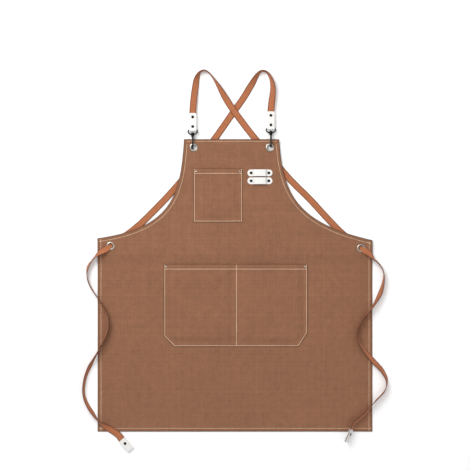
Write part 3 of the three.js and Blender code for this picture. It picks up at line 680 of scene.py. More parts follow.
def front_height(points, softness):
    """The panel's front face above the table, in millimetres."""
    edge = distance_to(points, OUTLINE)
    lift = BIB_LIFT * smoothstep(points[:, 1], *RISE)
    from_top = PANEL_HEIGHT - points[:, 1]
    stitch = np.where(from_top < BIB_STITCH + 4, from_top - BIB_STITCH, edge - HEM_STITCH)
    groove = SEAM_GROOVE * np.exp(-((stitch / 1.5) ** 2))
    puckered = smoothstep(edge, 1, 5) * (1 - smoothstep(edge, 12, 26))
    pucker = PUCKER * ripples(points) * puckered
    sink = HEM_SINK * smoothstep(edge, HEM_WIDTH, HEM_WIDTH + 14)
    soft = softness / MM * waves(points) * smoothstep(edge, 4, 40)
    uneven = clear_of_hardware(points, 9, 34) * (pucker - sink + soft)
    return SKIRT_FRONT + lift - rolled_edge(edge, SKIRT_FRONT / 2) - groove + uneven


def back_height(points, front):
    """The panel's back face: the hem's folds lie lower than the single layer inside them."""
    edge = distance_to(points, OUTLINE)
    lift = BIB_LIFT * smoothstep(points[:, 1], *RISE)
    hem = lift + rolled_edge(edge, SKIRT_FRONT / 2)
    return np.where(edge < HEM_WIDTH + 0.2, np.minimum(hem, front), front - CANVAS)


# Thread


STITCH_SIDES = 6
STITCH_START = 0.09  # share of the pitch before the stitch
STITCH_SHARE = 0.80  # share of the pitch that the stitch takes
STITCH_STEPS = np.array([0.0, 0.12, 0.5, 0.88, 1.0])  # shares of one stitch's length
STITCH_RISE = np.array([-0.75, 0.25, 0.62, 0.25, -0.75])
STITCH_SIZE = np.array([0.55, 0.95, 1.05, 0.95, 0.55])


def stitches(name, line, heights, settings, bold):
    """A row of separate raised stitches along a line in millimetres."""
    rng = np.random.default_rng(len(line) * 7 + len(name))
    radius = settings.thread_thickness / MM / 2 * bold
    line = np.array(line)
    gaps = np.linalg.norm(np.diff(line, axis=0), axis=1)
    run = np.concatenate([[0], np.cumsum(gaps)])
    count = max(1, round(run[-1] / (settings.stitch / MM)))
    pitch = run[-1] / count
    along = (np.arange(count)[:, None] + STITCH_START + STITCH_SHARE * STITCH_STEPS) * pitch
    x, y = (np.interp(along, run, line[:, k]) for k in (0, 1))
    ahead, behind = along + 0.3, along - 0.3
    run_x, run_y = (
        np.interp(ahead, run, line[:, k]) - np.interp(behind, run, line[:, k]) for k in (0, 1)
    )
    length = np.hypot(run_x, run_y) + 1e-9
    side_x, side_y = -run_y / length, run_x / length
    lean = rng.normal(0, 0.07, (count, 1)) * (STITCH_STEPS - 0.5) * 2
    shift = rng.normal(0, 0.06, (count, 1)) + lean
    x = x + side_x * shift
    y = y + side_y * shift
    ends = heights(np.stack([x[:, [0, 2, 4]].ravel(), y[:, [0, 2, 4]].ravel()], 1))
    low, middle, high = ends.reshape(count, 3).T
    ground = np.stack([
        low, low * 0.6 + middle * 0.4, middle, high * 0.6 + middle * 0.4, high,
    ], 1)
    z = ground + STITCH_RISE * radius
    parts = []
    for i in range(count):
        verts, faces = [], []
        for k, share in enumerate(STITCH_SIZE * radius):
            for n in range(STITCH_SIDES):
                angle = math.tau * n / STITCH_SIDES
                off = math.cos(angle) * share
                verts.append(place(
                    x[i, k] + side_x[i, k] * off,
                    y[i, k] + side_y[i, k] * off,
                    z[i, k] + math.sin(angle) * share * 0.85,
                ))
        parts.append((verts, ring_faces(len(STITCH_STEPS), STITCH_SIDES)))
    verts, faces = together(parts)
    return mesh_object(name, verts, faces, "thread", BODY, angle=75)


# Finishes


class Wires:
    """Adds nodes to one tree and links them."""

    def __init__(self, tree):
        self.tree = tree

    def node(self, kind, settings=None, **inputs):
        made = self.tree.nodes.new(kind)
        for name, value in (settings or {}).items():
            setattr(made, name, value)
        for name, value in inputs.items():
            self.feed(made.inputs[name.replace("_", " ")], value)
        return made

    def feed(self, socket, value):
        if isinstance(value, bpy.types.NodeSocket):
            self.tree.links.new(value, socket)
        else:
            socket.default_value = value

    def filled(self, kind, settings, *values):
        """A node whose first inputs take the values in order; returns its first output."""
        made = self.node(kind, settings)
        for socket, value in zip(made.inputs, values):
            self.feed(socket, value)
        return made.outputs[0]

    def math(self, operation, *values):
        return self.filled("ShaderNodeMath", {"operation": operation}, *values)

    def plus(self, a, b):
        return self.math("ADD", a, b)

    def minus(self, a, b):
        return self.math("SUBTRACT", a, b)

    def times(self, a, b):
        return self.math("MULTIPLY", a, b)

    def scaled(self, vector, factor):
        """A vector made longer or shorter, or a colour made lighter or darker."""
        made = self.node("ShaderNodeVectorMath", {"operation": "SCALE"}, Scale=factor)
        self.feed(made.inputs[0], vector)
        return made.outputs[0]

    def between(self, share, low, high):
        return self.filled("ShaderNodeMapRange", {}, share, 0.0, 1.0, low, high)

    def stepped(self, value, low, high):
        smooth = {"interpolation_type": "SMOOTHSTEP"}
        return self.filled("ShaderNodeMapRange", smooth, value, low, high, 0.0, 1.0)

    def noise(self, vector, scale, detail, roughness):
        made = self.node(
            "ShaderNodeTexNoise", Vector=vector, Scale=scale, Detail=detail, Roughness=roughness
        )
        return made.outputs[0]

    def stretched_noise(self, vector, scales, roughness):
        stretched = self.node("ShaderNodeMapping", Vector=vector, Scale=scales)
        return self.noise(stretched.outputs[0], 1.0, 2.0, roughness)


SOCKETS = {"Vector": "NodeSocketVector", "Colour": "NodeSocketColor"}


def new_group(name, inputs, outputs):
    """A node group; a socket is a number unless its name is Vector or Colour."""
    tree = bpy.data.node_groups.new(name, "ShaderNodeTree")
    for label, value in inputs.items():
        kind = SOCKETS.get(label, "NodeSocketFloat")
        socket = tree.interface.new_socket(label, in_out="INPUT", socket_type=kind)
        if value is not None:
            socket.default_value = value
    for label in outputs:
        kind = SOCKETS.get(label, "NodeSocketFloat")
        tree.interface.new_socket(label, in_out="OUTPUT", socket_type=kind)
    entry = tree.nodes.new("NodeGroupInput")
    leave = tree.nodes.new("NodeGroupOutput")
    return tree, Wires(tree), entry.outputs, leave.inputs


def group(name):
    """One of the shared effects, made the first time that it is asked for."""
    return bpy.data.node_groups.get(name) or GROUPS[name](name)


def plain_weave(name):
    """Yarns that cross over and under each other in the vector's X and Y."""
    inputs = {"Vector": None, "Pitch Across": 0.001, "Pitch Along": 0.001, "Unevenness": 0.3}
    tree, w, given, out = new_group(name, inputs, ("Height", "Yarn"))
    drift = w.node(
        "ShaderNodeTexNoise", Vector=given["Vector"], Scale=140.0, Detail=1.0
    ).outputs["Color"]
    shifted = w.filled(
        "ShaderNodeVectorMath", {"operation": "SUBTRACT"}, drift, (0.5, 0.5, 0.5)
    )
    push = w.scaled(shifted, w.times(given["Unevenness"], given["Pitch Across"]))
    moved = w.filled("ShaderNodeVectorMath", {"operation": "ADD"}, given["Vector"], push)
    parts = w.node("ShaderNodeSeparateXYZ", Vector=moved)
    u = w.math("DIVIDE", parts.outputs["X"], given["Pitch Across"])
    v = w.math("DIVIDE", parts.outputs["Y"], given["Pitch Along"])
    whole_u, whole_v = w.math("FLOOR", u), w.math("FLOOR", v)

    def yarn(across, whole, along, phase):
        crown = w.math("SINE", w.times(w.minus(across, whole), math.pi))
        turn = w.times(w.plus(w.plus(along, phase), whole), math.pi)
        return w.times(crown, w.math("MULTIPLY_ADD", w.math("COSINE", turn), 0.5, 0.5))

    warp = yarn(u, whole_u, v, -0.5)
    weft = yarn(v, whole_v, u, 0.5)
    w.feed(out["Height"], w.math("MAXIMUM", warp, weft))
    tones = [
        w.node("ShaderNodeTexWhiteNoise", {"noise_dimensions": "1D"}, W=whole).outputs["Value"]
        for whole in (whole_u, w.plus(whole_v, 731.0))
    ]
    over = w.math("GREATER_THAN", warp, weft)
    w.feed(out["Yarn"], w.plus(w.times(tones[0], over), w.times(tones[1], w.minus(1.0, over))))
    return tree


def dye_variation(name):
    """Uneven dye: broad, middling and fine changes of tone."""
    inputs = {
        "Vector": None, "Colour": (1, 1, 1, 1), "Broad": 0.05, "Middling": 0.05, "Fine": 0.05,
    }
    tree, w, given, out = new_group(name, inputs, ("Colour", "Tone"))
    total = 1.0
    for scale, amount in ((7.0, "Broad"), (75.0, "Middling"), (420.0, "Fine")):
        pattern = w.minus(w.noise(given["Vector"], scale, 3.0, 0.6), 0.5)
        total = w.plus(w.times(pattern, w.times(given[amount], 4.0)), total)
    w.feed(out["Tone"], total)
    w.feed(out["Colour"], w.scaled(given["Colour"], total))
    return tree


def edge_wear_and_shade(name):
    """Raised edges lighter as wear with a positive amount and darker as painted shade with a
    negative one; creases and hollows darkened as painted shade.
    """
    inputs = {"Colour": (1, 1, 1, 1), "Rub": 0.2, "Soil": 0.2}
    tree, w, given, out = new_group(name, inputs, ("Colour", "Raised"))
    point = w.node("ShaderNodeNewGeometry").outputs["Pointiness"]
    raised = w.stepped(point, 0.505, 0.56)
    sunk = w.minus(1.0, w.stepped(point, 0.44, 0.495))
    # a positive amount lightens the raised edges as wear, a negative one darkens them as painted
    # shade
    lighter = w.math("MULTIPLY_ADD", raised, given["Rub"], 1.0)
    # painted shade: creases and hollows are darkened where shade falls
    darker = w.minus(1.0, w.times(sunk, given["Soil"]))
    w.feed(out["Colour"], w.scaled(given["Colour"], w.times(lighter, darker)))
    w.feed(out["Raised"], raised)
    return tree


def leather_grain(name):
    """Small rounded pebbles with finer pores and a few creases."""
    inputs = {"Vector": None, "Size": 0.0009}
    tree, w, given, out = new_group(name, inputs, ("Height", "Crease"))
    where = given["Vector"]
    scale = w.math("DIVIDE", 1.0, given["Size"])
    cells = w.node(
        "ShaderNodeTexVoronoi", {"feature": "DISTANCE_TO_EDGE"}, Vector=where, Scale=scale
    ).outputs["Distance"]
    pebble = w.stepped(cells, 0.0, 0.28)
    pores = w.noise(where, w.times(scale, 3.1), 2.0, 0.6)
    folds = w.noise(where, w.times(scale, 0.12), 3.0, 0.6)
    crease = w.stepped(w.math("ABSOLUTE", w.minus(folds, 0.5)), 0.0, 0.03)
    w.feed(out["Crease"], crease)
    w.feed(out["Height"], w.plus(w.times(pebble, 0.65), w.times(pores, 0.35)))
    return tree


def handling_marks(name):
    """Smudges and fine scratches on metal."""
    inputs = {"Vector": None, "Base": 0.3, "Spread": 0.15}
    tree, w, given, out = new_group(name, inputs, ("Roughness", "Height"))
    smudge = w.minus(w.noise(given["Vector"], 260.0, 3.0, 0.6), 0.5)
    scratch = w.stretched_noise(given["Vector"], (900.0, 5200.0, 2600.0), 0.7)
    rough = w.math("MULTIPLY_ADD", smudge, given["Spread"], given["Base"])
    fine = w.times(w.minus(scratch, 0.5), w.times(given["Spread"], 0.5))
    w.feed(out["Roughness"], w.plus(rough, fine))
    w.feed(out["Height"], scratch)
    return tree


GROUPS = {
    "Plain Weave": plain_weave,
    "Dye Variation": dye_variation,
    "Edge Rub": edge_wear_and_shade,
    "Leather Grain": leather_grain,
    "Handling Marks": handling_marks,
}


def use_group(w, name, **inputs):
    return w.node("ShaderNodeGroup", {"node_tree": group(name)}, **inputs).outputs


def rgba(colour):
    return (*colour, 1.0)


def start_finish(name, colour, dye, roughness, **sockets):
    """A material, its wires, its shader's inputs, places on the piece and the dyed colour."""
    made = bpy.data.materials.new(name)
    made.use_nodes = True
    made.node_tree.nodes.clear()
    w = Wires(made.node_tree)
    shader = w.node("ShaderNodeBsdfPrincipled", Roughness=roughness, **sockets)
    w.node("ShaderNodeOutputMaterial", Surface=shader.outputs[0])
    where = w.node("ShaderNodeTexCoord").outputs["Object"]
    broad, middling, fine = dye
    dyed = use_group(
        w, "Dye Variation", Vector=where, Colour=rgba(colour), Broad=broad,
        Middling=middling, Fine=fine,
    )["Colour"]
    return made, w, shader.inputs, where, dyed


def bump(w, shader, height, distance, strength):
    made = w.node("ShaderNodeBump", Height=height, Distance=distance, Strength=strength)
    w.feed(shader["Normal"], made.outputs[0])


def canvas_finish(name, scene):
    cloth = scene.apron_cloth
    made, w, shader, where, dyed = start_finish(
        name, cloth.canvas, (0.05, 0.09, 0.16), 0.92, Specular_IOR_Level=0.22,
        Sheen_Weight=0.10, Sheen_Roughness=0.45,
    )
    weave = use_group(
        w, "Plain Weave", Vector=where, Pitch_Across=cloth.yarn, Pitch_Along=cloth.yarn,
        Unevenness=0.6,
    )
    # painted shade: the canvas's raised edges and its hollows are both darkened
    edge_tone = use_group(w, "Edge Rub", Colour=dyed, Rub=-0.42, Soil=0.30)
    slub = w.minus(w.stretched_noise(where, (640.0, 22.0, 22.0), 0.6), 0.5)
    streak = w.math("MULTIPLY_ADD", slub, 0.30, 1.0)
    # painted shade: the canvas is darker in the low gaps between its yarns
    gaps = w.between(weave["Height"], 0.74, 1.10)
    yarn = w.between(weave["Yarn"], 0.88, 1.12)
    # painted shade: the canvas is darkened near its cut edge, where the rolled edge turns away
    # from the light
    cut_edge_shade = w.node("ShaderNodeAttribute", {"attribute_name": "cut_edge_shade"}).outputs["Fac"]
    tone = w.times(w.times(w.times(gaps, yarn), streak), w.between(cut_edge_shade, 1.0, 0.40))
    w.feed(shader["Base Color"], w.scaled(edge_tone["Colour"], tone))
    fuzz = w.noise(where, 2600.0, 2.0, 0.7)
    bump(w, shader, w.math("MULTIPLY_ADD", fuzz, 0.25, weave["Height"]), 0.00022, 0.8)
    return made


def webbing_finish(name, scene):
    trim = scene.apron_trim
    made, w, shader, _, dyed = start_finish(
        name, trim.webbing, (0.03, 0.05, 0.08), 0.88, Specular_IOR_Level=0.25,
        Sheen_Weight=0.12, Sheen_Roughness=0.4,
    )
    run = w.node("ShaderNodeUVMap", {"uv_map": "run"}).outputs[0]
    weave = use_group(
        w, "Plain Weave", Vector=run, Pitch_Across=trim.rib, Pitch_Along=trim.rib * 1.5,
        Unevenness=0.25,
    )
    across = w.node("ShaderNodeSeparateXYZ", Vector=run).outputs["X"]
    # the band near each edge is raised as a selvedge in the bump and darkened with painted shade
    # in the colour
    selvedge_and_edge_shade = w.stepped(w.math("ABSOLUTE", across), 0.0060, 0.0074)
    # painted shade: the webbing is darker in the low gaps between its yarns
    gaps = w.between(weave["Height"], 0.74, 1.10)
    yarn = w.between(weave["Yarn"], 0.92, 1.08)
    tone = w.times(w.times(gaps, yarn), w.between(selvedge_and_edge_shade, 1.0, 0.36))
    w.feed(shader["Base Color"], w.scaled(dyed, tone))
    bump(w, shader, w.math("MULTIPLY_ADD", selvedge_and_edge_shade, 0.5, weave["Height"]), 0.00030, 0.9)
    return made


def thread_finish(name, scene):
    made, w, shader, where, dyed = start_finish(
        name, scene.apron_cloth.thread, (0.02, 0.12, 0.10), 0.6, Specular_IOR_Level=0.35,
        Sheen_Weight=0.2, Sheen_Roughness=0.4,
    )
    w.feed(shader["Base Color"], dyed)
    ply = w.node(
        "ShaderNodeTexWave", {"bands_direction": "DIAGONAL"}, Vector=where, Scale=620.0,
        Distortion=0.6,
    )
    bump(w, shader, ply.outputs["Fac"], 0.00012, 0.7)
    return made


def leather_finish(name, scene):
    made, w, shader, where, dyed = start_finish(
        name, scene.apron_trim.leather, (0.01, 0.015, 0.015), 0.42, Specular_IOR_Level=0.45
    )
    grain = use_group(w, "Leather Grain", Vector=where, Size=0.0011)
    # raised edges a little lighter as wear, and the hollows darkened with painted shade
    edge_tone = use_group(w, "Edge Rub", Colour=dyed, Rub=0.03, Soil=0.25)
    tone = w.times(w.between(grain["Height"], 0.965, 1.0), w.between(grain["Crease"], 0.975, 1.0))
    w.feed(shader["Base Color"], w.scaled(edge_tone["Colour"], tone))
    w.feed(shader["Roughness"], w.between(grain["Height"], 0.52, 0.38))
    bump(w, shader, grain["Height"], 0.00008, 0.7)
    return made


def metal_finish(name, colour, roughness, spread, edge_tone):
    made, w, shader, where, dyed = start_finish(
        name, colour, (0.02, 0.04, 0.04), roughness, Metallic=1.0
    )
    marks = use_group(w, "Handling Marks", Vector=where, Base=roughness, Spread=spread)
    # raised edges lighter as wear, and the hollows darkened with painted shade
    worn_and_shaded = use_group(w, "Edge Rub", Colour=dyed, Rub=edge_tone, Soil=0.7)
    w.feed(shader["Base Color"], worn_and_shaded["Colour"])
    w.feed(shader["Roughness"], marks["Roughness"])
    bump(w, shader, marks["Height"], 0.00001, 0.4)
    return made


def black_finish(name, scene):
    return metal_finish(name, scene.apron_trim.black_metal, 0.40, 0.22, 0.35)


def nickel_finish(name, scene):
    return metal_finish(name, scene.apron_trim.nickel, 0.27, 0.18, 0.10)


def floor_finish(name, scene):
    made, w, shader, _, dyed = start_finish(
        name, scene.apron_stage.floor, (0.0, 0.002, 0.003), 0.9, Specular_IOR_Level=0.1
    )
    w.feed(shader["Base Color"], dyed)
    return made


FINISHES = {
    "canvas": canvas_finish,
    "webbing": webbing_finish,
    "thread": thread_finish,
    "white_leather": leather_finish,
    "black_metal": black_finish,
    "nickel": nickel_finish,
    "table_top": floor_finish,
}


def material(name):
    """One of the finishes, made the first time that it is asked for."""
    return bpy.data.materials.get("apron_" + name) or FINISHES[name](
        "apron_" + name, bpy.context.scene
    )


def refinish(node, name):
    """Gives a CAD node that stays in view one of the finishes."""
    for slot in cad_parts[node].material_slots:
        slot.material = material(name)


# Straps


def band_frame(run, turn):
    """The width and the face of a flat band that runs along a unit vector."""
    side = Vector((0, 0, 1)).cross(run).normalized()
    up = run.cross(side)
    angle = math.radians(turn)
    width = side * math.cos(angle) + up * math.sin(angle)
    return width, run.cross(width)


def lie_height(under, turn, width):
    """The middle of a turned band that lies on something of a given height."""
    angle = math.radians(turn)
    tall = abs(math.sin(angle)) * width + abs(math.cos(angle)) * STRAP_THICK
    return under + LIFT + tall / 2


def tip_frame(side):
    """Mouth, run, width and face of the leather tip on one tie, in millimetres."""
    tip = TIP[side]
    angle = math.radians(tip["heading"])
    run = Vector((math.cos(angle), math.sin(angle), 0))
    width, face = band_frame(run, tip["turn"])
    height = lie_height(tip["under"], tip["turn"], TAB_WIDTH)
    mouth = Vector((*tip["at"], height)) - run * TIP_RIVET
    return mouth, run, width, face


def free_run(rows):
    """Rows of a free run with the height of the band's middle, for their width."""
    return [
        (x, y, lie_height(under, turn, STRAP_WIDTH), turn, STRAP_WIDTH)
        for x, y, under, turn in rows
    ]


def strap_route(side):
    """Rows of x, y, z, turn and width, from the clip's tab to the far side's tip."""
    far = "right" if side == "left" else "left"
    out = OUTWARDS[far]
    x, y = CLIP[side]
    hole_x, hole_y = WAIST_GROMMET[far]
    mouth, run, _, _ = tip_frame(far)
    in_tab = [(x, y + EYE_BAR + along, CLIP_Z, 0, STRAP_WIDTH) for along in (4.35, 22, 42)]
    through = [
        (hole_x + out * across, hole_y + along, z, -out * turn, width)
        for across, along, z, turn, width in THROUGH
    ]
    in_tip = [
        (*(mouth + run * along), TIP[far]["turn"], STRAP_WIDTH)
        for along in (-16, 0, TIP_POCKET - LIFT)
    ]
    return in_tab + free_run(CROSS_BACK[side]) + through + free_run(TIE[far]) + in_tip


def soften(values, reach):
    """A moving average that keeps the first and last values."""
    kernel = np.hanning(2 * reach + 3)[1:-1]
    padded = np.concatenate([[values[0]] * reach, values, [values[-1]] * reach])
    return np.convolve(padded, kernel / kernel.sum(), "valid")


def strap_sections(side):
    """The strap's sections for flat_band, and the path of its middle."""
    rows = smooth_line(strap_route(side), STRAP_STEP)
    rows[:, 3] = soften(rows[:, 3], 5)
    rows[:, 4] = soften(rows[:, 4], 2)
    runs = np.gradient(rows[:, :3], axis=0)
    sections, path = [], []
    for row, step in zip(rows, runs):
        x, y, z, turn, width = row
        across, face = band_frame(Vector(step).normalized(), turn)
        reach = abs(across.z) * width / 2 + abs(face.z) * STRAP_THICK / 2
        centre = place(x, y, max(z, reach + ABOVE_TABLE))
        sections.append((centre, across, face, width * MM, STRAP_THICK * MM))
        path.append(tuple(centre))
    return sections, path


class APRON_OT_straps(bpy.types.Operator):
    """Lay out the two webbing straps that cross at the back and end as the waist ties"""

    bl_idname = "apron.straps"
    bl_label = "Straps"

    def execute(self, context):
        for side in SIDES:
            sections, path = strap_sections(side)
            verts, faces, places = flat_band(sections, STRAP_ROUNDING * MM)
            piece = mesh_object(
                side + "_webbing_strap", verts, faces, "webbing", None, [side + "_strap"], 60
            )
            mark_run(piece, places)
            STRAPS[side] = (piece, path)
        return {"FINISHED"}


STRAPS = {}


def declare_strap(side):
    """Bakes the strap's placement into its mesh."""
    piece, path = STRAPS[side]
    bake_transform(piece)


# Leather


def end_sections(corner):
    """Distances in from a leather strip's end, and how much of the thickness is there."""
    near = [(0.0, 0.55), (0.12, 0.78), (0.35, 0.94), (0.8, 1.0)]
    return near + [(corner * share, 1.0) for share in (0.3, 0.45, 0.65, 0.85, 1.0)]


def leather_strip(path, across, width, corner):
    """A strip of leather along a path of points in millimetres, its ends' corners rounded."""
    points = np.array([tuple(p) for p in path], float)
    gaps = np.linalg.norm(np.diff(points, axis=0), axis=1)
    lengths = np.concatenate([[0], np.cumsum(gaps)])
    total = lengths[-1]

    def at(run):
        return Vector([np.interp(run, lengths, points[:, k]) for k in range(3)])

    stops = {}
    for inward, share in end_sections(corner):
        stops[round(inward, 4)] = (inward, share)
        stops[round(total - inward, 4)] = (inward, share)
    for run in lengths:
        if corner < run < total - corner:
            stops[round(run, 4)] = (min(run, total - run), 1.0)
    sections = []
    for run in sorted(stops):
        inward, share = stops[run]
        tangent = (at(run + 0.5) - at(run - 0.5)).normalized()
        short = max(0.0, corner - inward)
        half = max(0.9, width / 2 - corner + math.sqrt(max(0.0, corner**2 - short**2)))
        face = tangent.cross(across).normalized()
        sections.append((at(run), across, face, 2 * half, LEATHER * share))
    return sections


def strip_piece(name, sections, matrix, body, node):
    """The strip's mesh: sections in millimetres, placed by the matrix."""
    turn = matrix.to_3x3()
    placed = [
        (matrix @ (centre * MM), turn @ across, turn @ face, width * MM, thick * MM)
        for centre, across, face, width, thick in sections
    ]
    verts, faces, _ = flat_band(placed, 0.5 * MM)
    return mesh_object(name, verts, faces, "white_leather", body, [node], 50)


def seat_matrix(origin, across, run, face):
    """A frame whose X, Y and Z are across, run and face, at a point in millimetres."""
    matrix = Matrix.Identity(4)
    for column, axis in enumerate((across, run, face)):
        for row in range(3):
            matrix[row][column] = axis[row]
    matrix.translation = place(*origin)
    return matrix


def tip_matrix(side):
    """The frame of one tie's leather tip: X across, Y along from its mouth."""
    mouth, run, width, face = tip_frame(side)
    return seat_matrix(mouth, -width, run, face)


class APRON_OT_tie_tips(bpy.types.Operator):
    """Fold a leather tip over the end of each tie and rivet it"""

    bl_idname = "apron.tie_tips"
    bl_label = "Tie Tips"

    def execute(self, context):
        middle = FOLD_GAP / 2 + LEATHER / 2
        outer = FOLD_GAP / 2 + LEATHER
        under = -outer - LIFT - RIVET_BACK
        bend = TIP_LENGTH - middle - LEATHER / 2
        half_circle = [
            (0, bend + middle * math.sin(a), middle * math.cos(a))
            for a in np.linspace(0, math.pi, 13)
        ]
        upper = [(0, y, middle) for y in np.linspace(0, bend, 14)[:-1]]
        path = upper + half_circle + [(0, y, -z) for _, y, z in reversed(upper)]
        sections = leather_strip(path, Vector((1, 0, 0)), TAB_WIDTH, TAB_CORNER)
        for strap, tip in (("left", "right"), ("right", "left")):
            matrix = tip_matrix(tip)
            leather = strip_piece(tip + "_leather_tip", sections, matrix, BODY, tip + "_tie_tip")
            seat = matrix @ Matrix.Translation((0, TIP_RIVET * MM, 0))
            name = tip + "_tie_tip_rivet"
            rivets = rivet_pieces(name, seat, under, outer + LIFT, "black_metal", BODY)
            declare_strap(strap)
        return {"FINISHED"}


def mirrored_path(half, middle, step):
    """A smooth side view from one half, its middle point and the other half."""
    rows = half + [middle] + [(-x, z) for x, z in reversed(half)]
    return [(row[0], 0, row[2]) for row in smooth_line([(x, 0, z) for x, z in rows], step)]


class APRON_OT_tool_loops(bpy.types.Operator):
    """Make the two leather loops beside the chest pocket"""

    bl_idname = "apron.tool_loops"
    bl_label = "Tool Loops"

    def execute(self, context):
        base = SKIRT_FRONT + BIB_LIFT + LIFT + LEATHER / 2
        raised = base + LOOP_RISE
        half = [
            (-32, base), (-26, base), (-20.5, base), (-17.6, base + 0.7), (-14, raised - 0.9),
            (-10.5, raised - 0.1), (-5, raised + 0.1),
        ]
        path = mirrored_path(half, (0, raised + 0.15), 1.2)
        for row in ("upper", "lower"):
            node = row + "_tool_loop"
            low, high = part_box(node)
            matrix = Matrix.Translation(((low[0] + high[0]) / 2, (low[1] + high[1]) / 2, 0))
            width = (high[1] - low[1]) / MM
            sections = leather_strip(path, Vector((0, 1, 0)), width, width / 2)
            strip_piece(row + "_leather_loop", sections, matrix, BODY, node)
        return {"FINISHED"}


class APRON_OT_shoulder_tabs(bpy.types.Operator):
    """Fold a leather tab round each clip's bar, over the end of its strap"""

    bl_idname = "apron.shoulder_tabs"
    bl_label = "Shoulder Tabs"

    def execute(self, context):
        flat = FOLD_GAP / 2 + LEATHER / 2
        turn = WIRE / 2 + LIFT + LEATHER / 2
        upper = [(TAB_LENGTH, flat), (34, flat), (24, flat), (14, flat), (8, flat + 0.1)]
        upper += [(4, flat + 0.45), (0, turn), (-0.7 * turn, 0.7 * turn)]
        points = upper + [(-turn, 0)] + [(y, -z) for y, z in reversed(upper)]
        path = [(0, r[1], r[2]) for r in smooth_line([(0, y, z) for y, z in points], 1.1)]
        sections = leather_strip(path, Vector((1, 0, 0)), TAB_WIDTH, TAB_CORNER)
        for side in SIDES:
            x, y = CLIP[side]
            matrix = Matrix.Translation(place(x, y + EYE_BAR, CLIP_Z))
            node = side + "_shoulder_tab"
            strip_piece(side + "_leather_tab", sections, matrix, side + "_tab", node)
        return {"FINISHED"}


# Metal


def rivet_pieces(name, seat, low, over, finish, body):
    """A domed cap on its post, and the flat ring that the post is spread over."""
    r = RIVET_RADIUS[finish]
    dome = [
        (0.95, 0), (1, 0.12), (1, 0.42), (0.95, 0.72), (0.81, 1.05), (0.6, 1.3), (0.3, 1.46),
        (0, RIVET_CROWN),
    ]
    cap_profile = [(0, low), (1.1, low), (1.1, over)]
    cap_profile += [(share * r, over + rise) for share, rise in dome]
    back_profile = [
        (1.25, low + 0.1), (1.45, low), (r - 0.7, low), (r - 0.3, low + 0.2),
        (r - 0.2, low + 0.45), (r - 0.3, low + RIVET_BACK), (1.25, low + RIVET_BACK),
    ]
    return [
        closed_piece(
            f"{name}_{part}_round", [lathe(profile, 32, seat)], finish, body, f"{name}_{part}"
        )
        for part, profile in (("cap", cap_profile), ("back", back_profile))
    ]


class APRON_OT_rivets(bpy.types.Operator):
    """Set the rivets of the pockets, the loops and the shoulder tabs"""

    bl_idname = "apron.rivets"
    bl_label = "Rivets"

    def execute(self, context):
        names = [(f"{row}_loop_rivet_{s}", "black_metal", BODY)
                 for row in ("upper", "lower") for s in SIDES]
        names += [(f"{bag}_pocket_rivet_{s}", "nickel", BODY)
                  for bag in ("chest", "waist") for s in SIDES]
        names += [(f"{s}_tab_rivet_{i}", "black_metal", s + "_tab")
                  for s in SIDES for i in (1, 2)]
        for name, finish, body in names:
            low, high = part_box(name + "_cap")
            seat = Matrix.Translation(((low[0] + high[0]) / 2, (low[1] + high[1]) / 2, 0))
            rivet_pieces(name, seat, low[2] / MM, high[2] / MM - RIVET_CROWN, finish, body)
        return {"FINISHED"}


class APRON_OT_grommets(bpy.types.Operator):
    """Set a grommet and its washer in each corner of the bib and of the waist"""

    bl_idname = "apron.grommets"
    bl_label = "Grommets"

    def execute(self, context):
        for where, spots in (("bib", BIB_GROMMET), ("waist", WAIST_GROMMET)):
            for side in SIDES:
                name = f"{side}_{where}_grommet"
                seat = Matrix.Translation(place(*spots[side], 0))
                front = SKIRT_FRONT + BIB_LIFT
                washer = front - CANVAS - LIFT - WASHER_THICK
                eyelet = [
                    (7.0, front + 0.7), (7.12, front + 1.1), (7.5, front + 1.38),
                    (8.1, front + 1.5), (8.9, front + 1.48), (9.7, front + 1.3),
                    (10.4, front + 1.0), (10.85, front + 0.64), (11.0, front + 0.38),
                    (10.9, front + 0.18), (10.4, front + 0.22), (7.5, front + 0.25),
                    (7.5, washer + 0.1), (7.6, washer - 0.12), (8.3, washer - 0.12),
                    (8.6, washer - 0.3), (8.5, washer - 0.52), (8.0, washer - 0.6),
                    (7.3, washer - 0.58), (7.0, washer - 0.35),
                ]
                ring = [
                    (7.95, washer + 0.1), (8.1, washer), (10.1, washer), (10.5, washer + 0.2),
                    (10.6, washer + 0.45), (10.4, washer + WASHER_THICK),
                    (7.95, washer + WASHER_THICK),
                ]
                for profile, node in ((eyelet, name), (ring, name + "_washer")):
                    turned = lathe(profile, 56, seat)
                    closed_piece(node + "_ring", [turned], "nickel", BODY, node)
        return {"FINISHED"}


def tube(points, radius, sides):
    """A round wire along points in metres, with flat ends."""
    verts = []
    count = len(points)
    side = (points[1] - points[0]).normalized().orthogonal()
    for i, point in enumerate(points):
        run = (points[min(i + 1, count - 1)] - points[max(i - 1, 0)]).normalized()
        side = (side - run * side.dot(run)).normalized()
        up = run.cross(side)
        for k in range(sides):
            angle = math.tau * k / sides
            verts.append(point + (side * math.cos(angle) + up * math.sin(angle)) * radius)
    return verts, ring_faces(count, sides)


def swept(points, matrix, width, thick, rounding, shares):
    """A bar across X along (y, z) points in millimetres, with a share of its thickness at each."""
    turn = matrix.to_3x3()
    across = Vector((1, 0, 0))
    rows = [Vector((0, y, z)) for y, z in points]
    sections = []
    for i, (row, share) in enumerate(zip(rows, shares)):
        run = (rows[min(i + 1, len(rows) - 1)] - rows[max(i - 1, 0)]).normalized()
        face = run.cross(across).normalized()
        sections.append((
            matrix @ (row * MM), turn @ across, turn @ face, width * MM, thick * share * MM
        ))
    verts, faces, _ = flat_band(sections, rounding * MM, crosswise=1)
    return verts, faces


def arc(cy, cz, radius, start, end, count):
    """Points round a centre in the hook's side view, angles in degrees from +Y to +Z."""
    angles = np.radians(np.linspace(start, end, count))
    return [(cy + radius * math.cos(a), cz + radius * math.sin(a)) for a in angles]


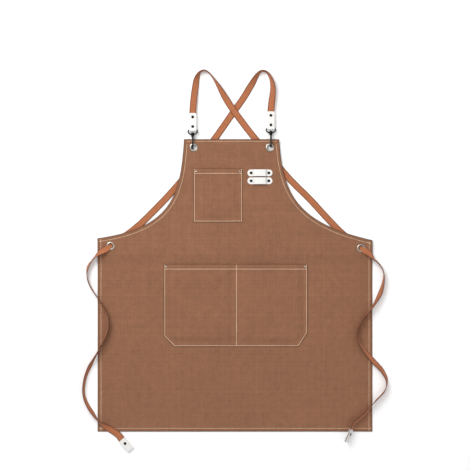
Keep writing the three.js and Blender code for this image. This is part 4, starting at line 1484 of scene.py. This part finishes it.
class APRON_OT_snap_hooks(bpy.types.Operator):
    """Make the swivel snap hooks: eye, hook and spring gate"""

    bl_idname = "apron.snap_hooks"
    bl_label = "Snap Hooks"

    def execute(self, context):
        for side in SIDES:
            x, y = CLIP[side]
            seat = Matrix.Translation(place(x, y, CLIP_Z))
            along_y = seat @ Matrix.Rotation(-math.pi / 2, 4, "X")
            self.eye(side, seat, along_y)
            self.hook(side, seat, along_y)
            self.gate(side, seat)
            for part in ("gate_pin", "gate_spring"):
                refinish(f"{side}_clip_{part}", "black_metal")
        return {"FINISHED"}

    def eye(self, side, seat, along_y):
        half = [
            (2.6, 0.4, 0), (6.6, 1.1, 0), (10.2, 3.5, 0), (11.6, 6.8, 0), (11.6, 8.9, 0),
            (10.1, EYE_BAR, 0), (4, EYE_BAR, 0),
        ]
        loop = half + [(-px, py, pz) for px, py, pz in reversed(half)]
        points = [seat @ (Vector(row[:3]) * MM) for row in smooth_line(loop, 0.8)]
        collar = [
            (2.3, 3.0), (2.3, -2.0), (3.6, -2.0), (4.2, -1.75), (4.65, -1.2), (4.8, -0.4),
            (4.8, 1.4), (4.65, 2.1), (4.2, 2.7), (3.6, 3.0),
        ]
        parts = [tube(points, WIRE / 2 * MM, 16), lathe(collar, 32, along_y)]
        closed_piece(side + "_swivel_eye", parts, "black_metal", BODY, side + "_clip_eye", 45)

    def hook(self, side, seat, along_y):
        r = HOOK_MIDLINE
        tip = [(HOOK_TIP, r), (HOOK_TIP - 0.25, r), (HOOK_TIP - 0.8, r)]
        path = tip + arc(HOOK_BEND, 0, r, 90, 270, 22)
        path += [(y, -r) for y in np.linspace(HOOK_BEND + 2, HOOK_NECK - 2, 8)]
        path += arc(HOOK_NECK, 0, r, 270, 425, 20)
        ends = [0.7, 0.9, 1.0] + [1.0] * (len(path) - 3)
        bend = swept(path, seat, HOOK_THICK, WIRE, 1.15, ends)
        last = path[-1]
        ears = []
        for out in (-1, 1):
            shift = seat @ Matrix.Translation((out * 1.5 * MM, 0, 0))
            back = [(last[0], last[1]), (HOOK_NECK + 1.2, r), (HOOK_NECK, r)]
            round_end = [(HOOK_NECK - 0.8, r), (HOOK_NECK - 1.3, r), (HOOK_NECK - 1.6, r)]
            shape = [1, 1, 1, 0.87, 0.62, 0.2]
            ears.append(swept(back + round_end, shift, 0.6, WIRE, 0.2, shape))
        stem = [
            (0, HOOK_NECK + 6), (3.2, HOOK_NECK + 6), (3.5, HOOK_NECK + 6.5), (3.9, -2.9),
            (3.8, -2.3), (2, -2.3), (2, 3.3), (3.1, 3.3), (3.4, 3.6), (3.3, 4.2), (2.6, 4.8),
            (1.4, 5.0), (0, 5.05),
        ]
        parts = [bend, *ears, lathe(stem, 28, along_y)]
        body, node = side + "_hook", side + "_clip_hook"
        closed_piece(side + "_hook_body", parts, "black_metal", body, node, 45)

    def gate(self, side, seat):
        r = HOOK_MIDLINE
        free = HOOK_TIP + 0.3
        bar = [(y, r) for y in np.linspace(HOOK_NECK - 2.1, free + 0.3, 9)]
        bar.append((free, r))
        ends = [0.8] + [1.0] * 8 + [0.75]
        tongue = [(y, r) for y in (HOOK_NECK - 3, HOOK_NECK - 1, HOOK_NECK, HOOK_NECK + 0.9)]
        tongue.append((HOOK_NECK + 1.4, r))
        shape = [1, 1, 1, 0.8, 0.35]
        shift = seat @ Matrix.Translation((-0.43 * MM, 0, 0))
        parts = [
            swept(bar, seat, HOOK_THICK, WIRE, 0.7, ends),
            swept(tongue, shift, 1.05, WIRE - 0.4, 0.2, shape),
        ]
        body, node = side + "_gate", side + "_clip_gate"
        closed_piece(side + "_spring_gate", parts, "black_metal", body, node, 45)


# Cloth pieces


class APRON_OT_panel(bpy.types.Operator):
    """Cut the apron's panel, turn its hem and sew it"""

    bl_idname = "apron.panel"
    bl_label = "Panel"

    def execute(self, context):
        cloth = context.scene.apron_cloth
        holes = [
            (x, y, HOLE_ROWS) for spots in (BIB_GROMMET, WAIST_GROMMET)
            for x, y in spots.values()
        ]

        def heights(points):
            return front_height(points, cloth.softness)

        flat, faces = cut_cloth(OUTLINE, PANEL_ROWS, PANEL_GRID, PANEL_EDGE_STEP, holes)
        upper = heights(flat)
        edge = distance_to(flat, OUTLINE)
        lower = np.where(edge < 0.02, upper, back_height(flat, upper))
        verts, faces = closed_sheet(flat, faces, upper, lower)
        piece = mesh_object(
            "canvas_panel", verts, faces, "canvas", BODY, ["apron_panel"], closed=False
        )
        mark_cut_edge_shade(piece, OUTLINE, 1.5)
        hem = inset(resample(OUTLINE, 2), HEM_STITCH)
        around = hem[(hem[:, 1] < PANEL_HEIGHT - 10) | (hem[:, 1] > PANEL_HEIGHT)]
        top = PANEL_HEIGHT - BIB_STITCH
        across = resample(np.array([(BIB_LEFT + 7, top), (BIB_RIGHT - 7, top)]), 3, closed=False)
        stitches("hem_stitching", from_the_gap(around), heights, cloth, HEM_THREAD)
        stitches("bib_top_stitching", across, heights, cloth, HEM_THREAD)
        return {"FINISHED"}


def from_seams(points, seams):
    """How far each point is across from the nearest upright seam."""
    return np.min([np.abs(points[:, 0] - seam) for seam in seams], axis=0)


def pouch_rise(points, seams, floor):
    """How far the pouch stands off what it is sewn to, in millimetres."""
    up = points[:, 1] - floor(points[:, 0])
    across = smoothstep(from_seams(points, seams), *POUCH_SLOPE)
    return POUCH_HEIGHT * across * smoothstep(up, *POUCH_SLOPE)


def pocket_front(points, outline, seams, floor, top, soft):
    """The pocket's front face, and how thick its folds make it."""
    ground = front_height(points, soft) + LIFT
    edge = distance_to(points, outline)
    radius = 0.8
    from_top = top - points[:, 1]
    fold = 0.55 * (1 - smoothstep(np.minimum(edge, from_top + 99), 7, 8.5))
    hem = 0.5 * (1 - smoothstep(from_top, POCKET_HEM_STITCH + 1.5, POCKET_HEM_STITCH + 2.6))
    sides = np.minimum(np.abs(edge - POCKET_EDGE_STITCH), np.abs(from_top - POCKET_HEM_STITCH))
    groove = 0.34 * np.exp(-((sides / 1.3) ** 2))
    if seams[1:-1]:
        divided = 0.4 * np.exp(-((from_seams(points, seams[1:-1]) / 1.5) ** 2))
        groove = np.maximum(groove, divided)
    body = pouch_rise(points, seams, floor)
    wrinkle = 0.34 * ripples(points * 0.9 + 40) * smoothstep(edge, 2, 8)
    wrinkle *= 1 - 0.75 * smoothstep(edge, 14, 40)
    soft_top = 0.8 * waves(points * 1.6 + 300) * body / POUCH_HEIGHT
    thick = CANVAS + np.maximum(fold, hem)
    uneven = (wrinkle + soft_top) * clear_of_hardware(points, 3.5, 14)
    top_face = ground + thick + body - groove + uneven
    return top_face - rolled_edge(edge, radius) * thick / radius / 1.2, np.minimum(thick, 1.5)


def make_pocket(node, outline, seams, floor, top, dividers, cloth):
    """Cuts one pocket, opens it and sews it down."""
    name = node + "_cloth"

    def front(points):
        return pocket_front(points, outline, seams, floor, top, cloth.softness)

    def heights(points):
        return front(points)[0]

    creases = [line[4:-4] for line in dividers]
    flat, faces = cut_cloth(
        outline, POCKET_ROWS, POCKET_GRID, POCKET_EDGE_STEP, creases=creases
    )
    upper, thick = front(flat)
    edge = distance_to(flat, outline)
    ground = front_height(flat, cloth.softness) + 0.05
    lower = np.maximum(
        np.minimum(upper - 0.02, upper - thick), np.minimum(ground, upper - 0.05)
    )
    lower = np.where(edge < 0.02, upper, lower)
    verts, faces = closed_sheet(flat, faces, upper, lower)
    piece = mesh_object(name, verts, faces, "canvas", BODY, [node], closed=False)
    mark_cut_edge_shade(piece, outline, 0.9)
    sides = inset(resample(outline, 1.5), POCKET_EDGE_STITCH)
    below = from_the_gap(sides[sides[:, 1] < top - POCKET_EDGE_STITCH - 0.3])
    below = np.vstack([(below[0, 0], top - 0.6), below, (below[-1, 0], top - 0.6)])
    stitches(name + "_edge_stitching", below, heights, cloth, POCKET_STITCH)
    low, high = outline[:, 0].min(), outline[:, 0].max()
    hem = np.array([(x, top - POCKET_HEM_STITCH)
                    for x in (low + POCKET_EDGE_STITCH, high - POCKET_EDGE_STITCH)])
    hem = resample(hem, 1.5, closed=False)
    stitches(name + "_hem_stitching", hem, heights, cloth, POCKET_STITCH)
    for number, line in enumerate(dividers):
        stitches(f"{name}_divider_stitching_{number + 1}", line, heights, cloth, POCKET_STITCH)


class APRON_OT_chest_pocket(bpy.types.Operator):
    """Cut and sew the pocket on the bib"""

    bl_idname = "apron.chest_pocket"
    bl_label = "Chest Pocket"

    def execute(self, context):
        left, right, bottom, top = (CHEST[k] for k in ("left", "right", "bottom", "top"))
        outline = np.array([(left, bottom), (right, bottom), (right, top), (left, top)], float)
        make_pocket(
            "chest_pocket", outline, [left, right], lambda x: np.full_like(x, bottom), top, [],
            context.scene.apron_cloth,
        )
        return {"FINISHED"}


class APRON_OT_waist_pocket(bpy.types.Operator):
    """Cut and sew the wide pocket, divided in two"""

    bl_idname = "apron.waist_pocket"
    bl_label = "Waist Pocket"

    def execute(self, context):
        left, right, bottom, top = (WAIST[k] for k in ("left", "right", "bottom", "top"))
        left_across, left_up = WAIST_CORNER["left"]
        right_across, right_up = WAIST_CORNER["right"]
        outline = np.array([
            (left, bottom + left_up), (left + left_across, bottom),
            (right - right_across, bottom), (right, bottom + right_up), (right, top), (left, top),
        ], float)

        def floor(x):
            on_left = left_up * np.clip(1 - (x - left) / left_across, 0, 1)
            on_right = right_up * np.clip(1 - (right - x) / right_across, 0, 1)
            return bottom + on_left + on_right

        divider = np.array([(WAIST_DIVIDER, y) for y in np.arange(bottom + 1, top - 0.5, 3.0)])
        make_pocket(
            "waist_pocket", outline, [left, WAIST_DIVIDER, right], floor, top, [divider],
            context.scene.apron_cloth,
        )
        return {"FINISHED"}


# Stage


LIGHTS = {  # where, how wide and how strong
    "key_light": ((-1.1, 1.35, 1.9), 1.3, 46),
    "fill_light": ((1.9, -0.6, 2.1), 2.0, 13),
    "top_light": ((-0.1, 0.3, 2.6), 2.0, 17),
}
MIDDLE = Vector((0, HEM_Y + 0.5025, 0))
FLOOR_REACH = 4.0
FLOOR_Z = -0.0002
LOW_SKY = (0.42, 0.42, 0.43, 1)
HIGH_SKY = (1, 1, 1, 1)
SKY_STRENGTH = 0.54


class APRON_OT_stage(bpy.types.Operator):
    """Set up the floor, the lights and the camera"""

    bl_idname = "apron.stage"
    bl_label = "Stage"

    def execute(self, context):
        scene = context.scene
        stage = scene.apron_stage
        camera = bpy.data.cameras.new("camera")
        camera.lens = stage.lens
        camera.sensor_width = 36
        camera.clip_end = 50
        viewer = bpy.data.objects.new("camera", camera)
        viewer.location = MIDDLE + Vector((0, 0, stage.height))
        scene.collection.objects.link(viewer)
        scene.camera = viewer
        corners = [(-1, -1), (1, -1), (1, 1), (-1, 1)]
        mesh = bpy.data.meshes.new("table_top")
        mesh.from_pydata(
            [(x * FLOOR_REACH, y * FLOOR_REACH, FLOOR_Z) for x, y in corners], [], [(0, 1, 2, 3)]
        )
        mesh.materials.append(material("table_top"))
        floor = bpy.data.objects.new("table_top", mesh)
        scene.collection.objects.link(floor)
        for name, (where, width, power) in LIGHTS.items():
            data = bpy.data.lights.new(name, "AREA")
            data.shape = "RECTANGLE"
            data.size = data.size_y = width
            data.energy = power
            lamp = bpy.data.objects.new(name, data)
            lamp.location = where
            lamp.rotation_euler = (MIDDLE - Vector(where)).to_track_quat("-Z", "Y").to_euler()
            scene.collection.objects.link(lamp)
        world = bpy.data.worlds.new("studio")
        scene.world = world
        world.use_nodes = True
        w = Wires(world.node_tree)
        backdrop = world.node_tree.nodes["Background"]
        way = w.node("ShaderNodeTexCoord").outputs["Generated"]
        height = w.node("ShaderNodeSeparateXYZ", Vector=way).outputs["Z"]
        sky = w.node("ShaderNodeMix", {"data_type": "RGBA"}, Factor=w.stepped(height, 0.0, 0.75))
        sky.inputs[6].default_value = LOW_SKY
        sky.inputs[7].default_value = HIGH_SKY
        w.feed(backdrop.inputs["Color"], sky.outputs[2])
        backdrop.inputs["Strength"].default_value = SKY_STRENGTH
        scene.view_settings.view_transform = "Standard"
        return {"FINISHED"}


class APRON_PT_panel(bpy.types.Panel):
    """The apron's sizes, colours and pieces"""

    bl_idname = "APRON_PT_panel"
    bl_label = "Butcher Apron"
    bl_space_type = "VIEW_3D"
    bl_region_type = "UI"
    bl_category = "Apron"

    def draw(self, context):
        layout = self.layout
        for label, attribute in SETTINGS.items():
            box = layout.box()
            box.label(text=label)
            group_of_settings = getattr(context.scene, attribute)
            for name in group_of_settings.__annotations__:
                box.prop(group_of_settings, name)
        for operator in OPERATORS:
            layout.operator(operator.bl_idname)


SETTINGS = {"Cloth": "apron_cloth", "Trim": "apron_trim", "Stage": "apron_stage"}
GROUP_CLASSES = (ClothSettings, TrimSettings, StageSettings)
OPERATORS = (
    APRON_OT_stage,
    APRON_OT_straps,
    APRON_OT_tie_tips,
    APRON_OT_panel,
    APRON_OT_chest_pocket,
    APRON_OT_waist_pocket,
    APRON_OT_grommets,
    APRON_OT_rivets,
    APRON_OT_tool_loops,
    APRON_OT_shoulder_tabs,
    APRON_OT_snap_hooks,
)


def register():
    for cls in (*GROUP_CLASSES, *OPERATORS, APRON_PT_panel):
        bpy.utils.register_class(cls)
    for cls, attribute in zip(GROUP_CLASSES, SETTINGS.values()):
        setattr(bpy.types.Scene, attribute, PointerProperty(type=cls))


def unregister():
    for attribute in SETTINGS.values():
        delattr(bpy.types.Scene, attribute)
    for cls in reversed((*GROUP_CLASSES, *OPERATORS, APRON_PT_panel)):
        bpy.utils.unregister_class(cls)


def main():
    register()
    for operator in OPERATORS:
        family, name = operator.bl_idname.split(".")
        getattr(getattr(bpy.ops, family), name)()


if __name__ == "__main__":
    main()
